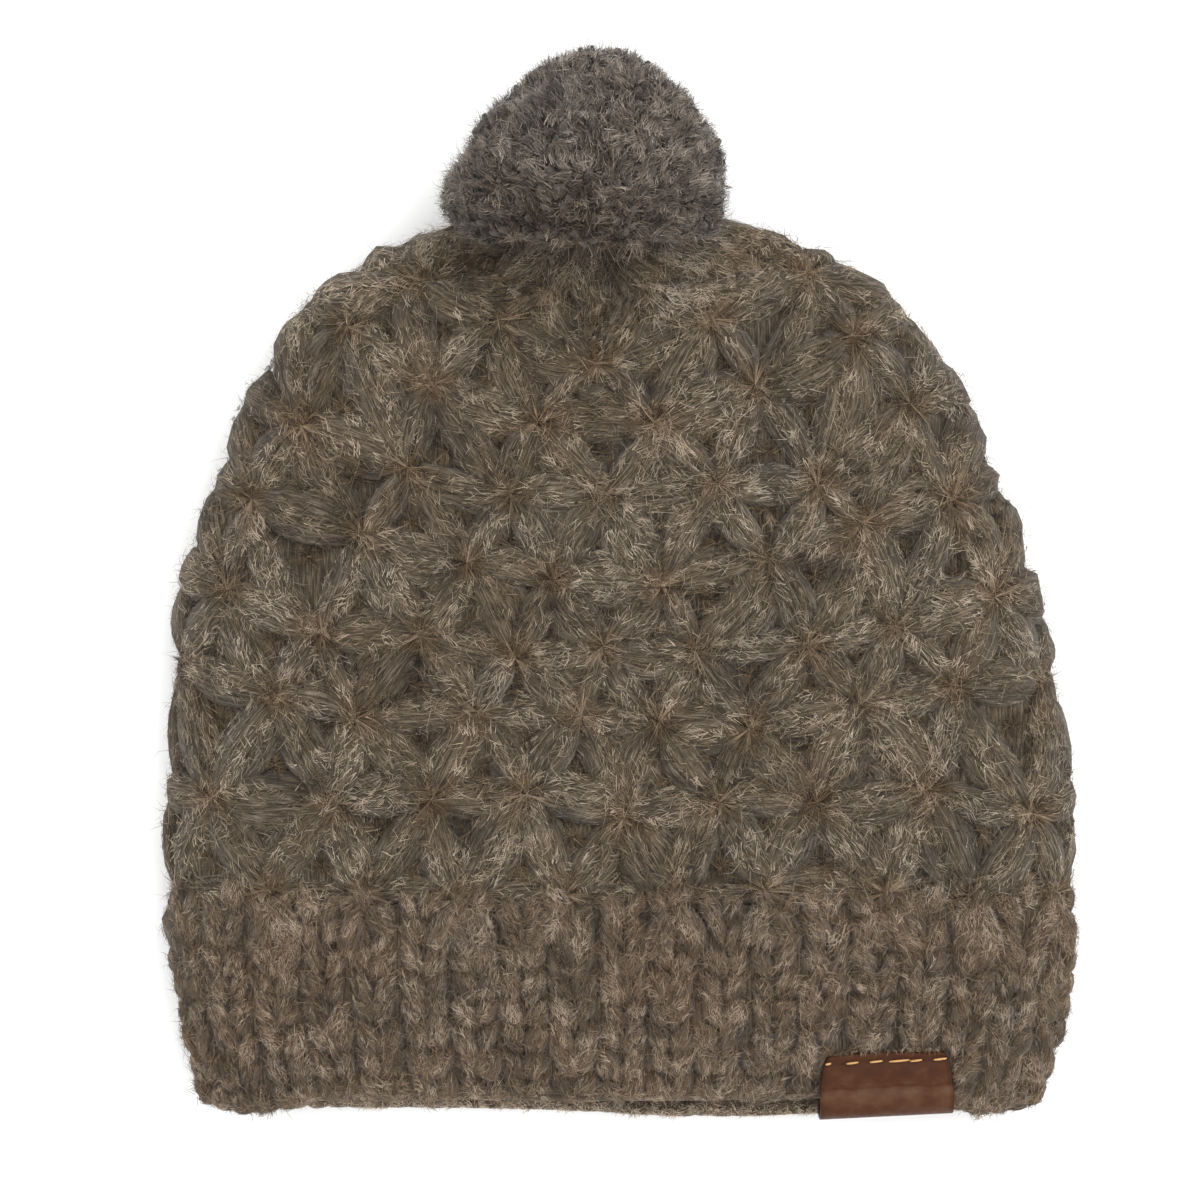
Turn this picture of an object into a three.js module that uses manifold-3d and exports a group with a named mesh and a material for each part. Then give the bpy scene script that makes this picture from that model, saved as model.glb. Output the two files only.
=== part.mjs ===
// A knitted pompom beanie lying flat on its back, in millimetres.
// X runs across the hat, +Y runs from the rim to the pompom, and the table is the plane Z = 0.
import * as THREE from "three";
import { mergeVertices } from "three/addons/utils/BufferGeometryUtils.js";
import Module from "manifold-3d";

const wasm = await Module();
wasm.setup();

// Stitch counts of the knitting
const RIBS_ROUND = 38;
const STEPS_AROUND_CROWN = 76;
const STEPS_PER_RIB = 4;
const STEPS_PER_ROUND = 4;

// Thickness of the cloth and depth of its relief
const CROWN_WALL = 9;
const BAND_WALL = 7.6;
const FOLD_WALL = 13;
const STAR_DENT = 4.6;
const STAR_REACH = 0.4;
const STITCH_GAP_DENT = 5;
const PUFF_HALF_WIDTH = 0.3;
const LONGEST_PUFF = 1.2;
const GATHER_ROUNDS = 2;
const GATHER_RELIEF = 0.25;
const RIB_DENT = 2.2;
const LYING_RELIEF = 0.45;
const LYING_SINK = 1.3;
const PIECE_GAP = 0.3;

// Section of the lying hat: a domed front, a flat back and the height of the side folds
const FRONT_POWER = 3.4;
const BACK_POWER = 9;
const BACK_FULLNESS = 1.16;
const FOLD_HEIGHT = 0.44;
const SECTION_SAMPLES = 360;
const SLOPE_STEP = 0.05;

// Rounds of star stitch from the seam up to the gathered top, with fewer stars as the crown narrows. A
// round dips from edgeY at the side folds to middleY in the middle, and bottom and height place it
// above the table.
const CROWN_ROUNDS = [
  { middleY: -86.0, edgeY: -86.0, halfWidth: 124.2, centreX: 1.2, bottom: 0, height: 33, stars: 19 },
  { middleY: -59.3, edgeY: -57.0, halfWidth: 124.6, centreX: 0.8, bottom: 0, height: 36, stars: 19 },
  { middleY: -36.2, edgeY: -28.0, halfWidth: 121.0, centreX: -0.8, bottom: 0, height: 38, stars: 19 },
  { middleY: -17.1, edgeY: 1.1, halfWidth: 117.4, centreX: -2.6, bottom: 0, height: 39, stars: 19 },
  { middleY: 3.8, edgeY: 29.3, halfWidth: 107.4, centreX: -2.6, bottom: 0, height: 39, stars: 17 },
  { middleY: 22.8, edgeY: 54.8, halfWidth: 97.2, centreX: -3.0, bottom: 0, height: 38, stars: 15 },
  { middleY: 42.7, edgeY: 77.6, halfWidth: 81.6, centreX: -4.0, bottom: 1, height: 36, stars: 13 },
  { middleY: 62.6, edgeY: 92.4, halfWidth: 60.2, centreX: -4.6, bottom: 4, height: 31, stars: 10 },
  { middleY: 80.8, edgeY: 98.4, halfWidth: 35.4, centreX: -6.0, bottom: 9, height: 24, stars: 6 },
  { middleY: 94.0, edgeY: 100.0, halfWidth: 9.0, centreX: -7.0, bottom: 15, height: 11, stars: 6 },
];
const CROWN_TOP = CROWN_ROUNDS.length - 1;

// Rounds of the rib band from the seam down to the rim, which is rolled in at its very edge
const BAND_ROUNDS = [
  { middleY: -86.3, edgeY: -86.3, halfWidth: 123.8, centreX: 1.2, bottom: 0, height: 33 },
  { middleY: -100, edgeY: -100, halfWidth: 124.2, centreX: 1.6, bottom: 0, height: 33 },
  { middleY: -115, edgeY: -115, halfWidth: 122.4, centreX: 1.6, bottom: 0, height: 32 },
  { middleY: -129, edgeY: -129, halfWidth: 119.0, centreX: 1.4, bottom: 0, height: 30 },
  { middleY: -137.8, edgeY: -137.2, halfWidth: 115.6, centreX: 1.0, bottom: 0, height: 28 },
  { middleY: -140.2, edgeY: -140, halfWidth: 112.6, centreX: 1.0, bottom: 1.6, height: 24.6 },
];
const BAND_RIM = BAND_ROUNDS.length - 1;
const RIM_CORNER_DROP = 4.6;
const RIM_CORNER_PLACE = 0.89;
const RIM_CORNER_SPREAD = 0.13;
const BACK_RIM_PEEK = 2.4;
const BACK_RIM_PEEK_PLACE = 0.24;
const BACK_RIM_PEEK_SPREAD = 0.34;

// Pompom: a ball with a flat seat that leans over the crown and trimmed shoulders, in locks of cut yarn
const POMPOM_CENTRE = new THREE.Vector3(-8.4, 108.2, 35);
const POMPOM_RADII = new THREE.Vector3(34.8, 34.2, 33);
const POMPOM_SEAT = 11;
const POMPOM_SEAT_LEAN = 0.2;
const POMPOM_SHOULDERS = { left: 0.105, right: 0.03 };
const POMPOM_CLEARANCE = 0.8;
const POMPOM_SEAT_ROUNDS = 4;
const POMPOM_SEAT_STEPS = 6;
const POMPOM_DETAIL = 2;
const LOCK_COUNT = 59;
const LOCK_SIDES = 5;
const LOCK_ROOT = 9;
const LOCK_TIP = 2;
const LOCK_DEPTH = 7;
const LOCK_REACH = 4.2;
const LOCK_UNEVEN = 1.4;
const LOCK_UNEVEN_TURN = 2.3;
const GOLDEN_ANGLE = Math.PI * (3 - Math.sqrt(5));
const TABLE_SIDE = 1000;

// Leather label folded over the front layer's rim
const LABEL_WIDTH = 36;
const LABEL_THICKNESS = 1.6;
const LABEL_X = 73;
const LABEL_FRONT_TOP_Y = -126.5;
const LABEL_BACK_TOP_Y = -131;
const LABEL_FOLD_Y = -144.2;
const LABEL_PROUD = 0.5;
const LABEL_TURN = THREE.MathUtils.degToRad(2.4);
const LABEL_FOLD_STEPS = 7;

// A named column of a table of rounds, read smoothly between its rows
function column(rounds, name, at) {
  const last = rounds.length - 1;
  const row = THREE.MathUtils.clamp(Math.floor(at), 0, last - 1);
  const part = at - row;
  const near = (step) => rounds[THREE.MathUtils.clamp(row + step, 0, last)][name];
  const slopeIn = (near(1) - near(-1)) / 2;
  const slopeOut = (near(2) - near(0)) / 2;
  const square = part * part;
  const cube = square * part;
  return near(0) * (2 * cube - 3 * square + 1)
    + slopeIn * (cube - 2 * square + part)
    + near(1) * (3 * square - 2 * cube)
    + slopeOut * (cube - square);
}

// How far one section is set in from the outside: nothing for the outside, the wall for the inside
const OUTSIDE = { fold: 0, face: 0 };

// One section of the lying hat as a closed row of points, evenly spaced along the cloth.
// It starts in the middle of the front and goes round by the +X fold.
function section(rounds, at, count, inset, rimShape) {
  const value = (name) => column(rounds, name, at);
  const slope = (name) => column(rounds, name, at + SLOPE_STEP) - column(rounds, name, at - SLOPE_STEP);
  const run = new THREE.Vector2(slope("halfWidth"), slope("edgeY")).normalize();
  const upward = run.y < 0 ? -1 : 1;
  const halfWidth = Math.max(value("halfWidth") - inset.fold * run.y * upward, 1);
  const edgeY = value("edgeY") + inset.fold * run.x * upward;
  const bottom = value("bottom") + inset.face;
  const height = value("height") - 2 * inset.face;
  const foldZ = bottom + height * FOLD_HEIGHT;
  const dense = [];
  for (let i = 0; i <= SECTION_SAMPLES; i += 1) {
    const angle = (2 * Math.PI * i) / SECTION_SAMPLES;
    const across = Math.sin(angle);
    const front = Math.cos(angle) >= 0;
    const power = front ? FRONT_POWER : BACK_POWER;
    const rise = Math.sqrt(Math.max(0, 1 - Math.abs(across) ** power));
    const lower = Math.max(bottom, foldZ - height * FOLD_HEIGHT * BACK_FULLNESS * rise);
    const y = edgeY + (value("middleY") - edgeY) * (1 - across * across);
    dense.push(new THREE.Vector3(
      value("centreX") + halfWidth * across,
      y + (rimShape ? rimShape(across, front) : 0),
      front ? foldZ + height * (1 - FOLD_HEIGHT) * rise : lower,
    ));
  }
  return evenly(dense, count);
}

// Points spaced evenly along a closed row of points
function evenly(dense, count) {
  const lengths = [0];
  for (let i = 1; i < dense.length; i += 1) {
    lengths.push(lengths[i - 1] + dense[i].distanceTo(dense[i - 1]));
  }
  const total = lengths[lengths.length - 1];
  const points = [];
  let at = 1;
  for (let i = 0; i < count; i += 1) {
    const want = (total * i) / count;
    while (lengths[at] < want) {
      at += 1;
    }
    const part = (want - lengths[at - 1]) / (lengths[at] - lengths[at - 1]);
    points.push(dense[at - 1].clone().lerp(dense[at], part));
  }
  return points;
}

// Outward direction at a point of a grid of sections
function outward(grid, row, place) {
  const count = grid[row].length;
  const next = grid[row][(place + 1) % count];
  const before = grid[row][(place + count - 1) % count];
  const above = grid[Math.min(row + 1, grid.length - 1)][place];
  const below = grid[Math.max(row - 1, 0)][place];
  const round = next.clone().sub(before);
  return round.cross(above.clone().sub(below)).normalize();
}

// Push the points of a grid in by a depth worked out for each, and press them flat on the table
function relieve(grid, facing, depthAt) {
  return grid.map((points, row) => points.map((point, place) => {
    const depth = depthAt(row, place / points.length, point);
    const moved = point.clone().addScaledVector(outward(grid, row, place), -depth * facing);
    moved.z = Math.max(moved.z, 0);
    return moved;
  }));
}

// Faces between neighbouring rows of a grid whose first point has the given number. Each square is
// split along the diagonal that stands further out, so that puffs stay round and gaps stay narrow.
function wallFaces(grid, first, facing) {
  const count = grid[0].length;
  const faces = [];
  for (let row = 0; row < grid.length - 1; row += 1) {
    for (let place = 0; place < count; place += 1) {
      const next = (place + 1) % count;
      const low = first + row * count;
      const high = low + count;
      const rising = grid[row + 1][next].clone().sub(grid[row][place]);
      const falling = grid[row + 1][place].clone().sub(grid[row][next]);
      const offset = grid[row][place].clone().add(grid[row + 1][next]);
      offset.sub(grid[row][next]).sub(grid[row + 1][place]);
      if (offset.dot(rising.cross(falling)) * facing > 0) {
        faces.push([low + place, low + next, high + next], [low + place, high + next, high + place]);
      } else {
        faces.push([low + place, low + next, high + place], [low + next, high + next, high + place]);
      }
    }
  }
  return faces;
}

// Faces between a fine closed row and a coarse one lying inside it
function ringFaces(fineFirst, fineCount, coarseFirst, coarseCount) {
  const faces = [];
  const share = fineCount / coarseCount;
  const half = Math.floor(share / 2);
  for (let place = 0; place < fineCount; place += 1) {
    const nearest = Math.floor((place + half) / share) % coarseCount;
    const following = Math.floor((place + 1 + half) / share) % coarseCount;
    const next = (place + 1) % fineCount;
    faces.push([fineFirst + place, coarseFirst + nearest, fineFirst + next]);
    if (following !== nearest) {
      faces.push([coarseFirst + nearest, coarseFirst + following, fineFirst + next]);
    }
  }
  return faces;
}

// Faces from a closed row of points to one point in its middle
function fanFaces(first, count, middle) {
  const faces = [];
  for (let place = 0; place < count; place += 1) {
    faces.push([first + place, first + ((place + 1) % count), middle]);
  }
  return faces;
}

function middleOf(points) {
  const middle = new THREE.Vector3();
  points.forEach((point) => middle.add(point));
  return middle.divideScalar(points.length);
}

const flipped = (faces) => faces.map(([a, b, c]) => [a, c, b]);

function solidFrom(points, faces) {
  return new wasm.Manifold(new wasm.Mesh({
    numProp: 3,
    vertProperties: new Float32Array(points.flatMap((point) => point.toArray())),
    triVerts: new Uint32Array(faces.flat()),
  }));
}

// A closed solid through a grid of sections
function fullLoft(grid, facing) {
  const count = grid[0].length;
  const top = (grid.length - 1) * count;
  const points = [...grid.flat(), middleOf(grid[0]), middleOf(grid[grid.length - 1])];
  const faces = [
    ...wallFaces(grid, 0, facing),
    ...flipped(fanFaces(0, count, top + count)),
    ...fanFaces(top, count, top + count + 1),
  ];
  return solidFrom(points, facing > 0 ? faces : flipped(faces));
}

// A cloth wall between an outside grid and a coarser inside grid, open at its first row and,
// if it is a tube, at its last row too
function clothWall(outside, inside, facing, tube) {
  const outCount = outside[0].length;
  const inCount = inside[0].length;
  const inFirst = outside.length * outCount;
  const outLast = inFirst - outCount;
  const inLast = inFirst + (inside.length - 1) * inCount;
  const points = [...outside.flat(), ...inside.flat()];
  const faces = [
    ...wallFaces(outside, 0, facing),
    ...flipped(wallFaces(inside, inFirst, facing)),
    ...ringFaces(0, outCount, inFirst, inCount),
  ];
  if (tube) {
    faces.push(...flipped(ringFaces(outLast, outCount, inLast, inCount)));
  } else {
    const middle = points.length;
    points.push(middleOf(outside[outside.length - 1]), middleOf(inside[inside.length - 1]));
    faces.push(...fanFaces(outLast, outCount, middle), ...flipped(fanFaces(inLast, inCount, middle + 1)));
  }
  return solidFrom(points, facing > 0 ? faces : flipped(faces));
}

// A geometry as a solid
function solidOf(geometry) {
  const bare = new THREE.BufferGeometry();
  bare.setAttribute("position", geometry.getAttribute("position").clone());
  if (geometry.index) {
    bare.setIndex(geometry.index.clone());
  }
  const welded = mergeVertices(bare, 1e-4);
  return new wasm.Manifold(new wasm.Mesh({
    numProp: 3,
    vertProperties: new Float32Array(welded.getAttribute("position").array),
    triVerts: new Uint32Array(welded.index.array),
  }));
}

// A solid as a named mesh
function piece(name, solid, material) {
  const mesh = solid.getMesh();
  const geometry = new THREE.BufferGeometry();
  geometry.setAttribute("position", new THREE.BufferAttribute(new Float32Array(mesh.vertProperties), 3));
  geometry.setIndex(new THREE.BufferAttribute(new Uint32Array(mesh.triVerts), 1));
  geometry.computeVertexNormals();
  const made = new THREE.Mesh(geometry, material);
  made.name = name;
  return made;
}

// Sections from one round of a table to another
function sections(rounds, from, to, steps, count, inset, rimShape) {
  const grid = [];
  for (let i = 0; i <= steps; i += 1) {
    const at = from + ((to - from) * i) / steps;
    grid.push(section(rounds, at, count, inset, rimShape ? rimShape(at) : null));
  }
  return grid;
}

// Depth of the star stitch below the tops of its puffs. Star centres lie on every round, each
// round half a star on from the last, and a puff runs from each centre to its neighbours.
function starDepth(round, turn) {
  const low = Math.floor(round);
  const perTurn = column(CROWN_ROUNDS, "stars", round);
  let centre = Infinity;
  let ridge = Infinity;
  const spots = [];
  for (let row = low - 1; row <= low + 2; row += 1) {
    const stars = CROWN_ROUNDS[THREE.MathUtils.clamp(row, 0, CROWN_TOP)].stars;
    const shift = row % 2 === 0 ? 0.5 : 0;
    const star = Math.round(turn * stars - shift);
    for (let side = -1; side <= 1; side += 1) {
      spots.push(new THREE.Vector2(((star + side + shift) / stars - turn) * perTurn, row - round));
    }
  }
  for (const a of spots) {
    centre = Math.min(centre, a.length());
    for (const b of spots) {
      const along = b.clone().sub(a);
      if (along.length() > 0 && along.length() < LONGEST_PUFF) {
        const part = THREE.MathUtils.clamp(-a.dot(along) / along.lengthSq(), 0, 1);
        ridge = Math.min(ridge, a.clone().addScaledVector(along, part).length());
      }
    }
  }
  const pinch = Math.max(0, 1 - centre / STAR_REACH);
  const gap = Math.min(1, ridge / PUFF_HALF_WIDTH);
  return Math.min(STITCH_GAP_DENT, STAR_DENT * pinch + STITCH_GAP_DENT * gap * gap);
}

// Where the hat lies on the table its relief is pressed shallower and its puffs are flattened
function pressed(depth, point, middleZ) {
  const share = 1 - THREE.MathUtils.smoothstep(point.z, 0, middleZ / 2);
  return depth * THREE.MathUtils.lerp(1, LYING_RELIEF, share) - LYING_SINK * share;
}

// Crown: the outside in relief, and the hollow for the head
function crownOutside() {
  const steps = CROWN_TOP * STEPS_PER_ROUND;
  const grid = sections(CROWN_ROUNDS, 0, CROWN_TOP, steps, STEPS_AROUND_CROWN, OUTSIDE);
  return relieve(grid, 1, (row, turn, point) => {
    const round = row / STEPS_PER_ROUND;
    const middleZ = column(CROWN_ROUNDS, "bottom", round) + column(CROWN_ROUNDS, "height", round) / 2;
    const fade = THREE.MathUtils.clamp((CROWN_TOP - round) / GATHER_ROUNDS, GATHER_RELIEF, 1);
    return pressed(starDepth(round, turn) * fade, point, middleZ);
  });
}

function crownInside() {
  const inset = { fold: FOLD_WALL, face: CROWN_WALL };
  const top = CROWN_TOP - GATHER_ROUNDS;
  return sections(CROWN_ROUNDS, 0, top, top, RIBS_ROUND, inset);
}

// The crown's smooth envelope, a little larger, to keep the pompom clear of it
function crownClearance() {
  const grow = { fold: -POMPOM_CLEARANCE, face: -POMPOM_CLEARANCE };
  const from = CROWN_TOP - POMPOM_SEAT_ROUNDS;
  return fullLoft(sections(CROWN_ROUNDS, from, CROWN_TOP, POMPOM_SEAT_STEPS, RIBS_ROUND, grow), 1);
}

// Rib band: rounded ribs running to the rim, less the same hollow
function bandRimShape(at) {
  const share = THREE.MathUtils.smoothstep(at, 1, BAND_RIM - 1);
  return (across, front) => {
    const corner = (Math.abs(across) - RIM_CORNER_PLACE) / RIM_CORNER_SPREAD;
    const beside = (across - BACK_RIM_PEEK_PLACE) / BACK_RIM_PEEK_SPREAD;
    const peek = front ? 0 : BACK_RIM_PEEK * Math.exp(-beside * beside);
    return -share * (RIM_CORNER_DROP * Math.exp(-corner * corner) + peek);
  };
}

function bandOutside() {
  const count = RIBS_ROUND * STEPS_PER_RIB;
  const grid = sections(BAND_ROUNDS, 0, BAND_RIM, BAND_RIM, count, OUTSIDE, bandRimShape);
  return relieve(grid, -1, (row, turn, point) => {
    const valley = 1 - Math.abs(Math.cos(Math.PI * RIBS_ROUND * turn));
    return pressed(RIB_DENT * valley, point, column(BAND_ROUNDS, "height", row) / 2);
  });
}

function bandInside() {
  const inset = { fold: FOLD_WALL, face: BAND_WALL };
  return sections(BAND_ROUNDS, 0, BAND_RIM, BAND_RIM, RIBS_ROUND, inset, bandRimShape);
}

// Height of the front's outside over a place on the band
const bandEnvelope = sections(
  BAND_ROUNDS, 0, BAND_RIM, STEPS_PER_ROUND * BAND_RIM, SECTION_SAMPLES, OUTSIDE, bandRimShape,
).flat();

function bandFrontZ(x, y) {
  let best = Infinity;
  let height = 0;
  for (const point of bandEnvelope) {
    const away = Math.hypot(point.x - x, point.y - y);
    if (away < best && point.z > FOLD_WALL) {
      best = away;
      height = point.z;
    }
  }
  return height;
}

// Leather label: a strip bent round the rim, seen from its end as a thin U
function labelStrip(grow) {
  const topZ = bandFrontZ(LABEL_X, LABEL_FRONT_TOP_Y) + LABEL_PROUD;
  const rimZ = bandFrontZ(LABEL_X, LABEL_FOLD_Y + BAND_WALL) + LABEL_PROUD;
  const reach = (BAND_WALL + LABEL_PROUD) / 2;
  const centreY = LABEL_FOLD_Y + reach;
  const centreZ = rimZ - reach;
  const outline = new THREE.Shape();
  const outer = reach + grow;
  const inner = reach - LABEL_THICKNESS - grow;
  outline.moveTo(LABEL_FRONT_TOP_Y + grow, topZ + grow);
  for (let i = 0; i <= LABEL_FOLD_STEPS; i += 1) {
    const angle = Math.PI / 2 + (Math.PI * i) / LABEL_FOLD_STEPS;
    outline.lineTo(centreY + outer * Math.cos(angle), centreZ + outer * Math.sin(angle));
  }
  outline.lineTo(LABEL_BACK_TOP_Y + grow, centreZ - outer);
  outline.lineTo(LABEL_BACK_TOP_Y + grow, centreZ - inner);
  for (let i = LABEL_FOLD_STEPS; i >= 0; i -= 1) {
    const angle = Math.PI / 2 + (Math.PI * i) / LABEL_FOLD_STEPS;
    outline.lineTo(centreY + inner * Math.cos(angle), centreZ + inner * Math.sin(angle));
  }
  outline.lineTo(LABEL_FRONT_TOP_Y + grow, topZ - LABEL_THICKNESS - grow);
  const width = LABEL_WIDTH + 2 * grow;
  const strip = new THREE.ExtrudeGeometry(outline, { depth: width, bevelEnabled: false });
  strip.translate(0, 0, -width / 2);
  strip.applyMatrix4(new THREE.Matrix4().makeBasis(
    new THREE.Vector3(0, 1, 0),
    new THREE.Vector3(0, 0, 1),
    new THREE.Vector3(1, 0, 0),
  ));
  const sideZ = (side) => bandFrontZ(LABEL_X + (side * LABEL_WIDTH) / 2, LABEL_FRONT_TOP_Y);
  const fall = sideZ(-1) - sideZ(1);
  strip.translate(0, -centreY, -centreZ);
  strip.rotateY(Math.atan2(fall, LABEL_WIDTH));
  strip.rotateZ(LABEL_TURN);
  strip.translate(LABEL_X, centreY, centreZ);
  return solidOf(strip);
}

// Pompom: a ball flattened on the crown's side, with locks of yarn fused all over it
function pompomReach(direction) {
  const seatward = -POMPOM_RADII.y * direction.y - POMPOM_SEAT_LEAN * POMPOM_RADII.z * direction.z;
  const seat = seatward > POMPOM_SEAT ? POMPOM_SEAT / seatward : 1;
  const trim = direction.y > 0 ? (2 * direction.x * direction.y) ** 2 : 0;
  const shoulder = direction.x < 0 ? POMPOM_SHOULDERS.left : POMPOM_SHOULDERS.right;
  return seat * (1 - shoulder * trim);
}

function pompomBall() {
  const ball = new THREE.IcosahedronGeometry(1, POMPOM_DETAIL);
  const place = ball.getAttribute("position");
  const point = new THREE.Vector3();
  for (let i = 0; i < place.count; i += 1) {
    point.fromBufferAttribute(place, i).normalize();
    point.multiplyScalar(pompomReach(point)).multiply(POMPOM_RADII).add(POMPOM_CENTRE);
    place.setXYZ(i, point.x, point.y, point.z);
  }
  return solidOf(ball);
}

function pompomLock(index) {
  const level = 1 - (2 * index + 1) / LOCK_COUNT;
  const ring = Math.sqrt(1 - level * level);
  const turn = index * GOLDEN_ANGLE;
  const direction = new THREE.Vector3(ring * Math.cos(turn), ring * Math.sin(turn), level);
  const reach = LOCK_REACH + LOCK_UNEVEN * Math.sin(index * LOCK_UNEVEN_TURN);
  const long = LOCK_DEPTH + reach;
  const lock = new THREE.CylinderGeometry(LOCK_TIP, LOCK_ROOT, long, LOCK_SIDES);
  lock.translate(0, reach - long / 2, 0);
  lock.applyQuaternion(new THREE.Quaternion().setFromUnitVectors(new THREE.Vector3(0, 1, 0), direction));
  const foot = direction.clone().multiplyScalar(pompomReach(direction)).multiply(POMPOM_RADII);
  lock.translate(...foot.add(POMPOM_CENTRE).toArray());
  return solidOf(lock);
}

function tableBlock() {
  const block = new THREE.BoxGeometry(TABLE_SIDE, TABLE_SIDE, TABLE_SIDE);
  block.translate(0, 0, -TABLE_SIDE / 2);
  return solidOf(block);
}

function pompomSolid() {
  let made = pompomBall();
  for (let index = 0; index < LOCK_COUNT; index += 1) {
    made = made.add(pompomLock(index));
  }
  return made.subtract(tableBlock()).subtract(crownClearance());
}

// Assemble the hat
const wool = new THREE.MeshStandardMaterial({ name: "wool", color: 0x6a5d4f, roughness: 0.95 });
const bandWool = new THREE.MeshStandardMaterial({ name: "band_wool", color: 0x685a4c, roughness: 0.95 });
const pompomWool = new THREE.MeshStandardMaterial({ name: "pompom_wool", color: 0x5c534a, roughness: 0.97 });
const leather = new THREE.MeshStandardMaterial({ name: "leather", color: 0x6a4430, roughness: 0.5 });

const hat = new THREE.Group();
hat.name = "beanie";
hat.add(piece("crown", clothWall(crownOutside(), crownInside(), 1, false), wool));
const band = clothWall(bandOutside(), bandInside(), -1, true);
hat.add(piece("rib_band", band.subtract(labelStrip(PIECE_GAP)), bandWool));
hat.add(piece("pompom", pompomSolid(), pompomWool));
hat.add(piece("leather_label", labelStrip(0), leather));

export default hat;
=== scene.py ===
# %% [markdown]
# # A knitted pompom beanie
# The hat lies on its back on a pale table, and is seen from straight above. The solids of the frame give
# its size and its form, and stay in place unseen. In this lesson each solid gets the yarn that it is made
# of: puffed star stitches on the crown, ribs of V stitches on the band, cut yarn on the pompom, and loose
# wool fibres over all of them. A folded leather label comes last.

import bpy
import numpy as np
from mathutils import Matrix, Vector


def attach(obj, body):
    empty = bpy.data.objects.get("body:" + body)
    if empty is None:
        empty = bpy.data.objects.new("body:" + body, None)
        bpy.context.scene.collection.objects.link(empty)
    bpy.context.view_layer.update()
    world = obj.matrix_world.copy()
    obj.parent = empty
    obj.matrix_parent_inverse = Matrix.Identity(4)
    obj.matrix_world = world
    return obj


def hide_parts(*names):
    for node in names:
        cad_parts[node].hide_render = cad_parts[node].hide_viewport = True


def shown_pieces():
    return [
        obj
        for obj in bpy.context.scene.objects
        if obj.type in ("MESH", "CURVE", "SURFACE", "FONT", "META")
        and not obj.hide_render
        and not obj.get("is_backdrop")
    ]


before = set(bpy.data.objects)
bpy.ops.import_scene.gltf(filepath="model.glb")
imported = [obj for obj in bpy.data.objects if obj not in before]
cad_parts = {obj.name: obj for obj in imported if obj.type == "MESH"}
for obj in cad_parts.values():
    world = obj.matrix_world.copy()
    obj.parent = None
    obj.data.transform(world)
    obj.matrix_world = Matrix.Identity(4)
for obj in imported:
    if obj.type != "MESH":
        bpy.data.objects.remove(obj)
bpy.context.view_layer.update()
print("solids in the frame:", sorted(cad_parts))

# %% [markdown]
# ## Table, light and camera
# A product shot of knitwear is lit so softly that the white table has almost no shadow. A bright even world
# does most of that work, and one large lamp to the right of the hat gives the stitches a lighter side. The
# camera hangs high above the table, because the photograph shows hardly any perspective.

# %% Table
MM = 0.001
TABLE_SIDE = 4000
TABLE_DROP = 0.4


def srgb(red, green, blue):
    """A colour as a screen shows it, in the linear values that Blender's sockets take."""
    shown = np.array([red, green, blue]) / 255
    linear = np.where(shown <= 0.04045, shown / 12.92, ((shown + 0.055) / 1.055) ** 2.4)
    return (*linear.tolist(), 1.0)


def table_material():
    made = bpy.data.materials.new("white_table")
    made.use_nodes = True
    nodes, links = made.node_tree.nodes, made.node_tree.links
    shader = nodes["Principled BSDF"]
    shader.inputs["Roughness"].default_value = 0.9
    place = nodes.new("ShaderNodeTexCoord")
    grain = nodes.new("ShaderNodeTexNoise")
    grain.inputs["Scale"].default_value = 3.0
    tint = nodes.new("ShaderNodeValToRGB")
    tint.color_ramp.elements[0].color = srgb(250, 250, 250)
    tint.color_ramp.elements[1].color = srgb(254, 254, 254)
    links.new(place.outputs["Object"], grain.inputs["Vector"])
    links.new(grain.outputs["Fac"], tint.inputs["Fac"])
    links.new(tint.outputs["Color"], shader.inputs["Base Color"])
    return made


half = TABLE_SIDE / 2 * MM
sheet = bpy.data.meshes.new("table")
corners = [(-half, -half), (half, -half), (half, half), (-half, half)]
sheet.from_pydata([(x, y, -TABLE_DROP * MM) for x, y in corners], [], [(0, 1, 2, 3)])
table = bpy.data.objects.new("table", sheet)
table.data.materials.append(table_material())
bpy.context.collection.objects.link(table)
table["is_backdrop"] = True
print("table", TABLE_SIDE, "mm across")

# %% Light
SKY_STRENGTH = 1.5
LAMP_WATTS = 16
LAMP_PLACE = (0.8, 0.45, 1.5)
LAMP_SIZE = 1.5


def aim(thing, at):
    """Turns a lamp or a camera so that it looks at a place."""
    thing.rotation_euler = (Vector(at) - thing.location).to_track_quat("-Z", "Y").to_euler()


sky = bpy.data.worlds.new("soft_sky")
sky.use_nodes = True
sky.node_tree.nodes["Background"].inputs["Color"].default_value = (1, 1, 1, 1)
sky.node_tree.nodes["Background"].inputs["Strength"].default_value = SKY_STRENGTH
bpy.context.scene.world = sky
lamp = bpy.data.objects.new("soft_lamp", bpy.data.lights.new("soft_lamp", "AREA"))
lamp.data.energy = LAMP_WATTS
lamp.data.size = LAMP_SIZE
lamp.location = LAMP_PLACE
aim(lamp, (0, 0, 0))
bpy.context.collection.objects.link(lamp)
bpy.context.scene.view_settings.view_transform = "Standard"
print("sky", SKY_STRENGTH, "and one lamp of", LAMP_WATTS, "W")

# %% Camera
FRAME_SIDE = 326.4
FRAME_CENTRE = (-4.76, -3.54)
SEEN_HEIGHT = 25
CAMERA_HEIGHT = 1500

camera = bpy.data.objects.new("camera", bpy.data.cameras.new("camera"))
camera.location = (FRAME_CENTRE[0] * MM, FRAME_CENTRE[1] * MM, (SEEN_HEIGHT + CAMERA_HEIGHT) * MM)
camera.rotation_euler = (0, 0, 0)
camera.data.angle = 2 * np.arctan(FRAME_SIDE / 2 / CAMERA_HEIGHT)
bpy.context.collection.objects.link(camera)
bpy.context.scene.camera = camera
print("camera sees", FRAME_SIDE, "mm across the hat")

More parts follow.
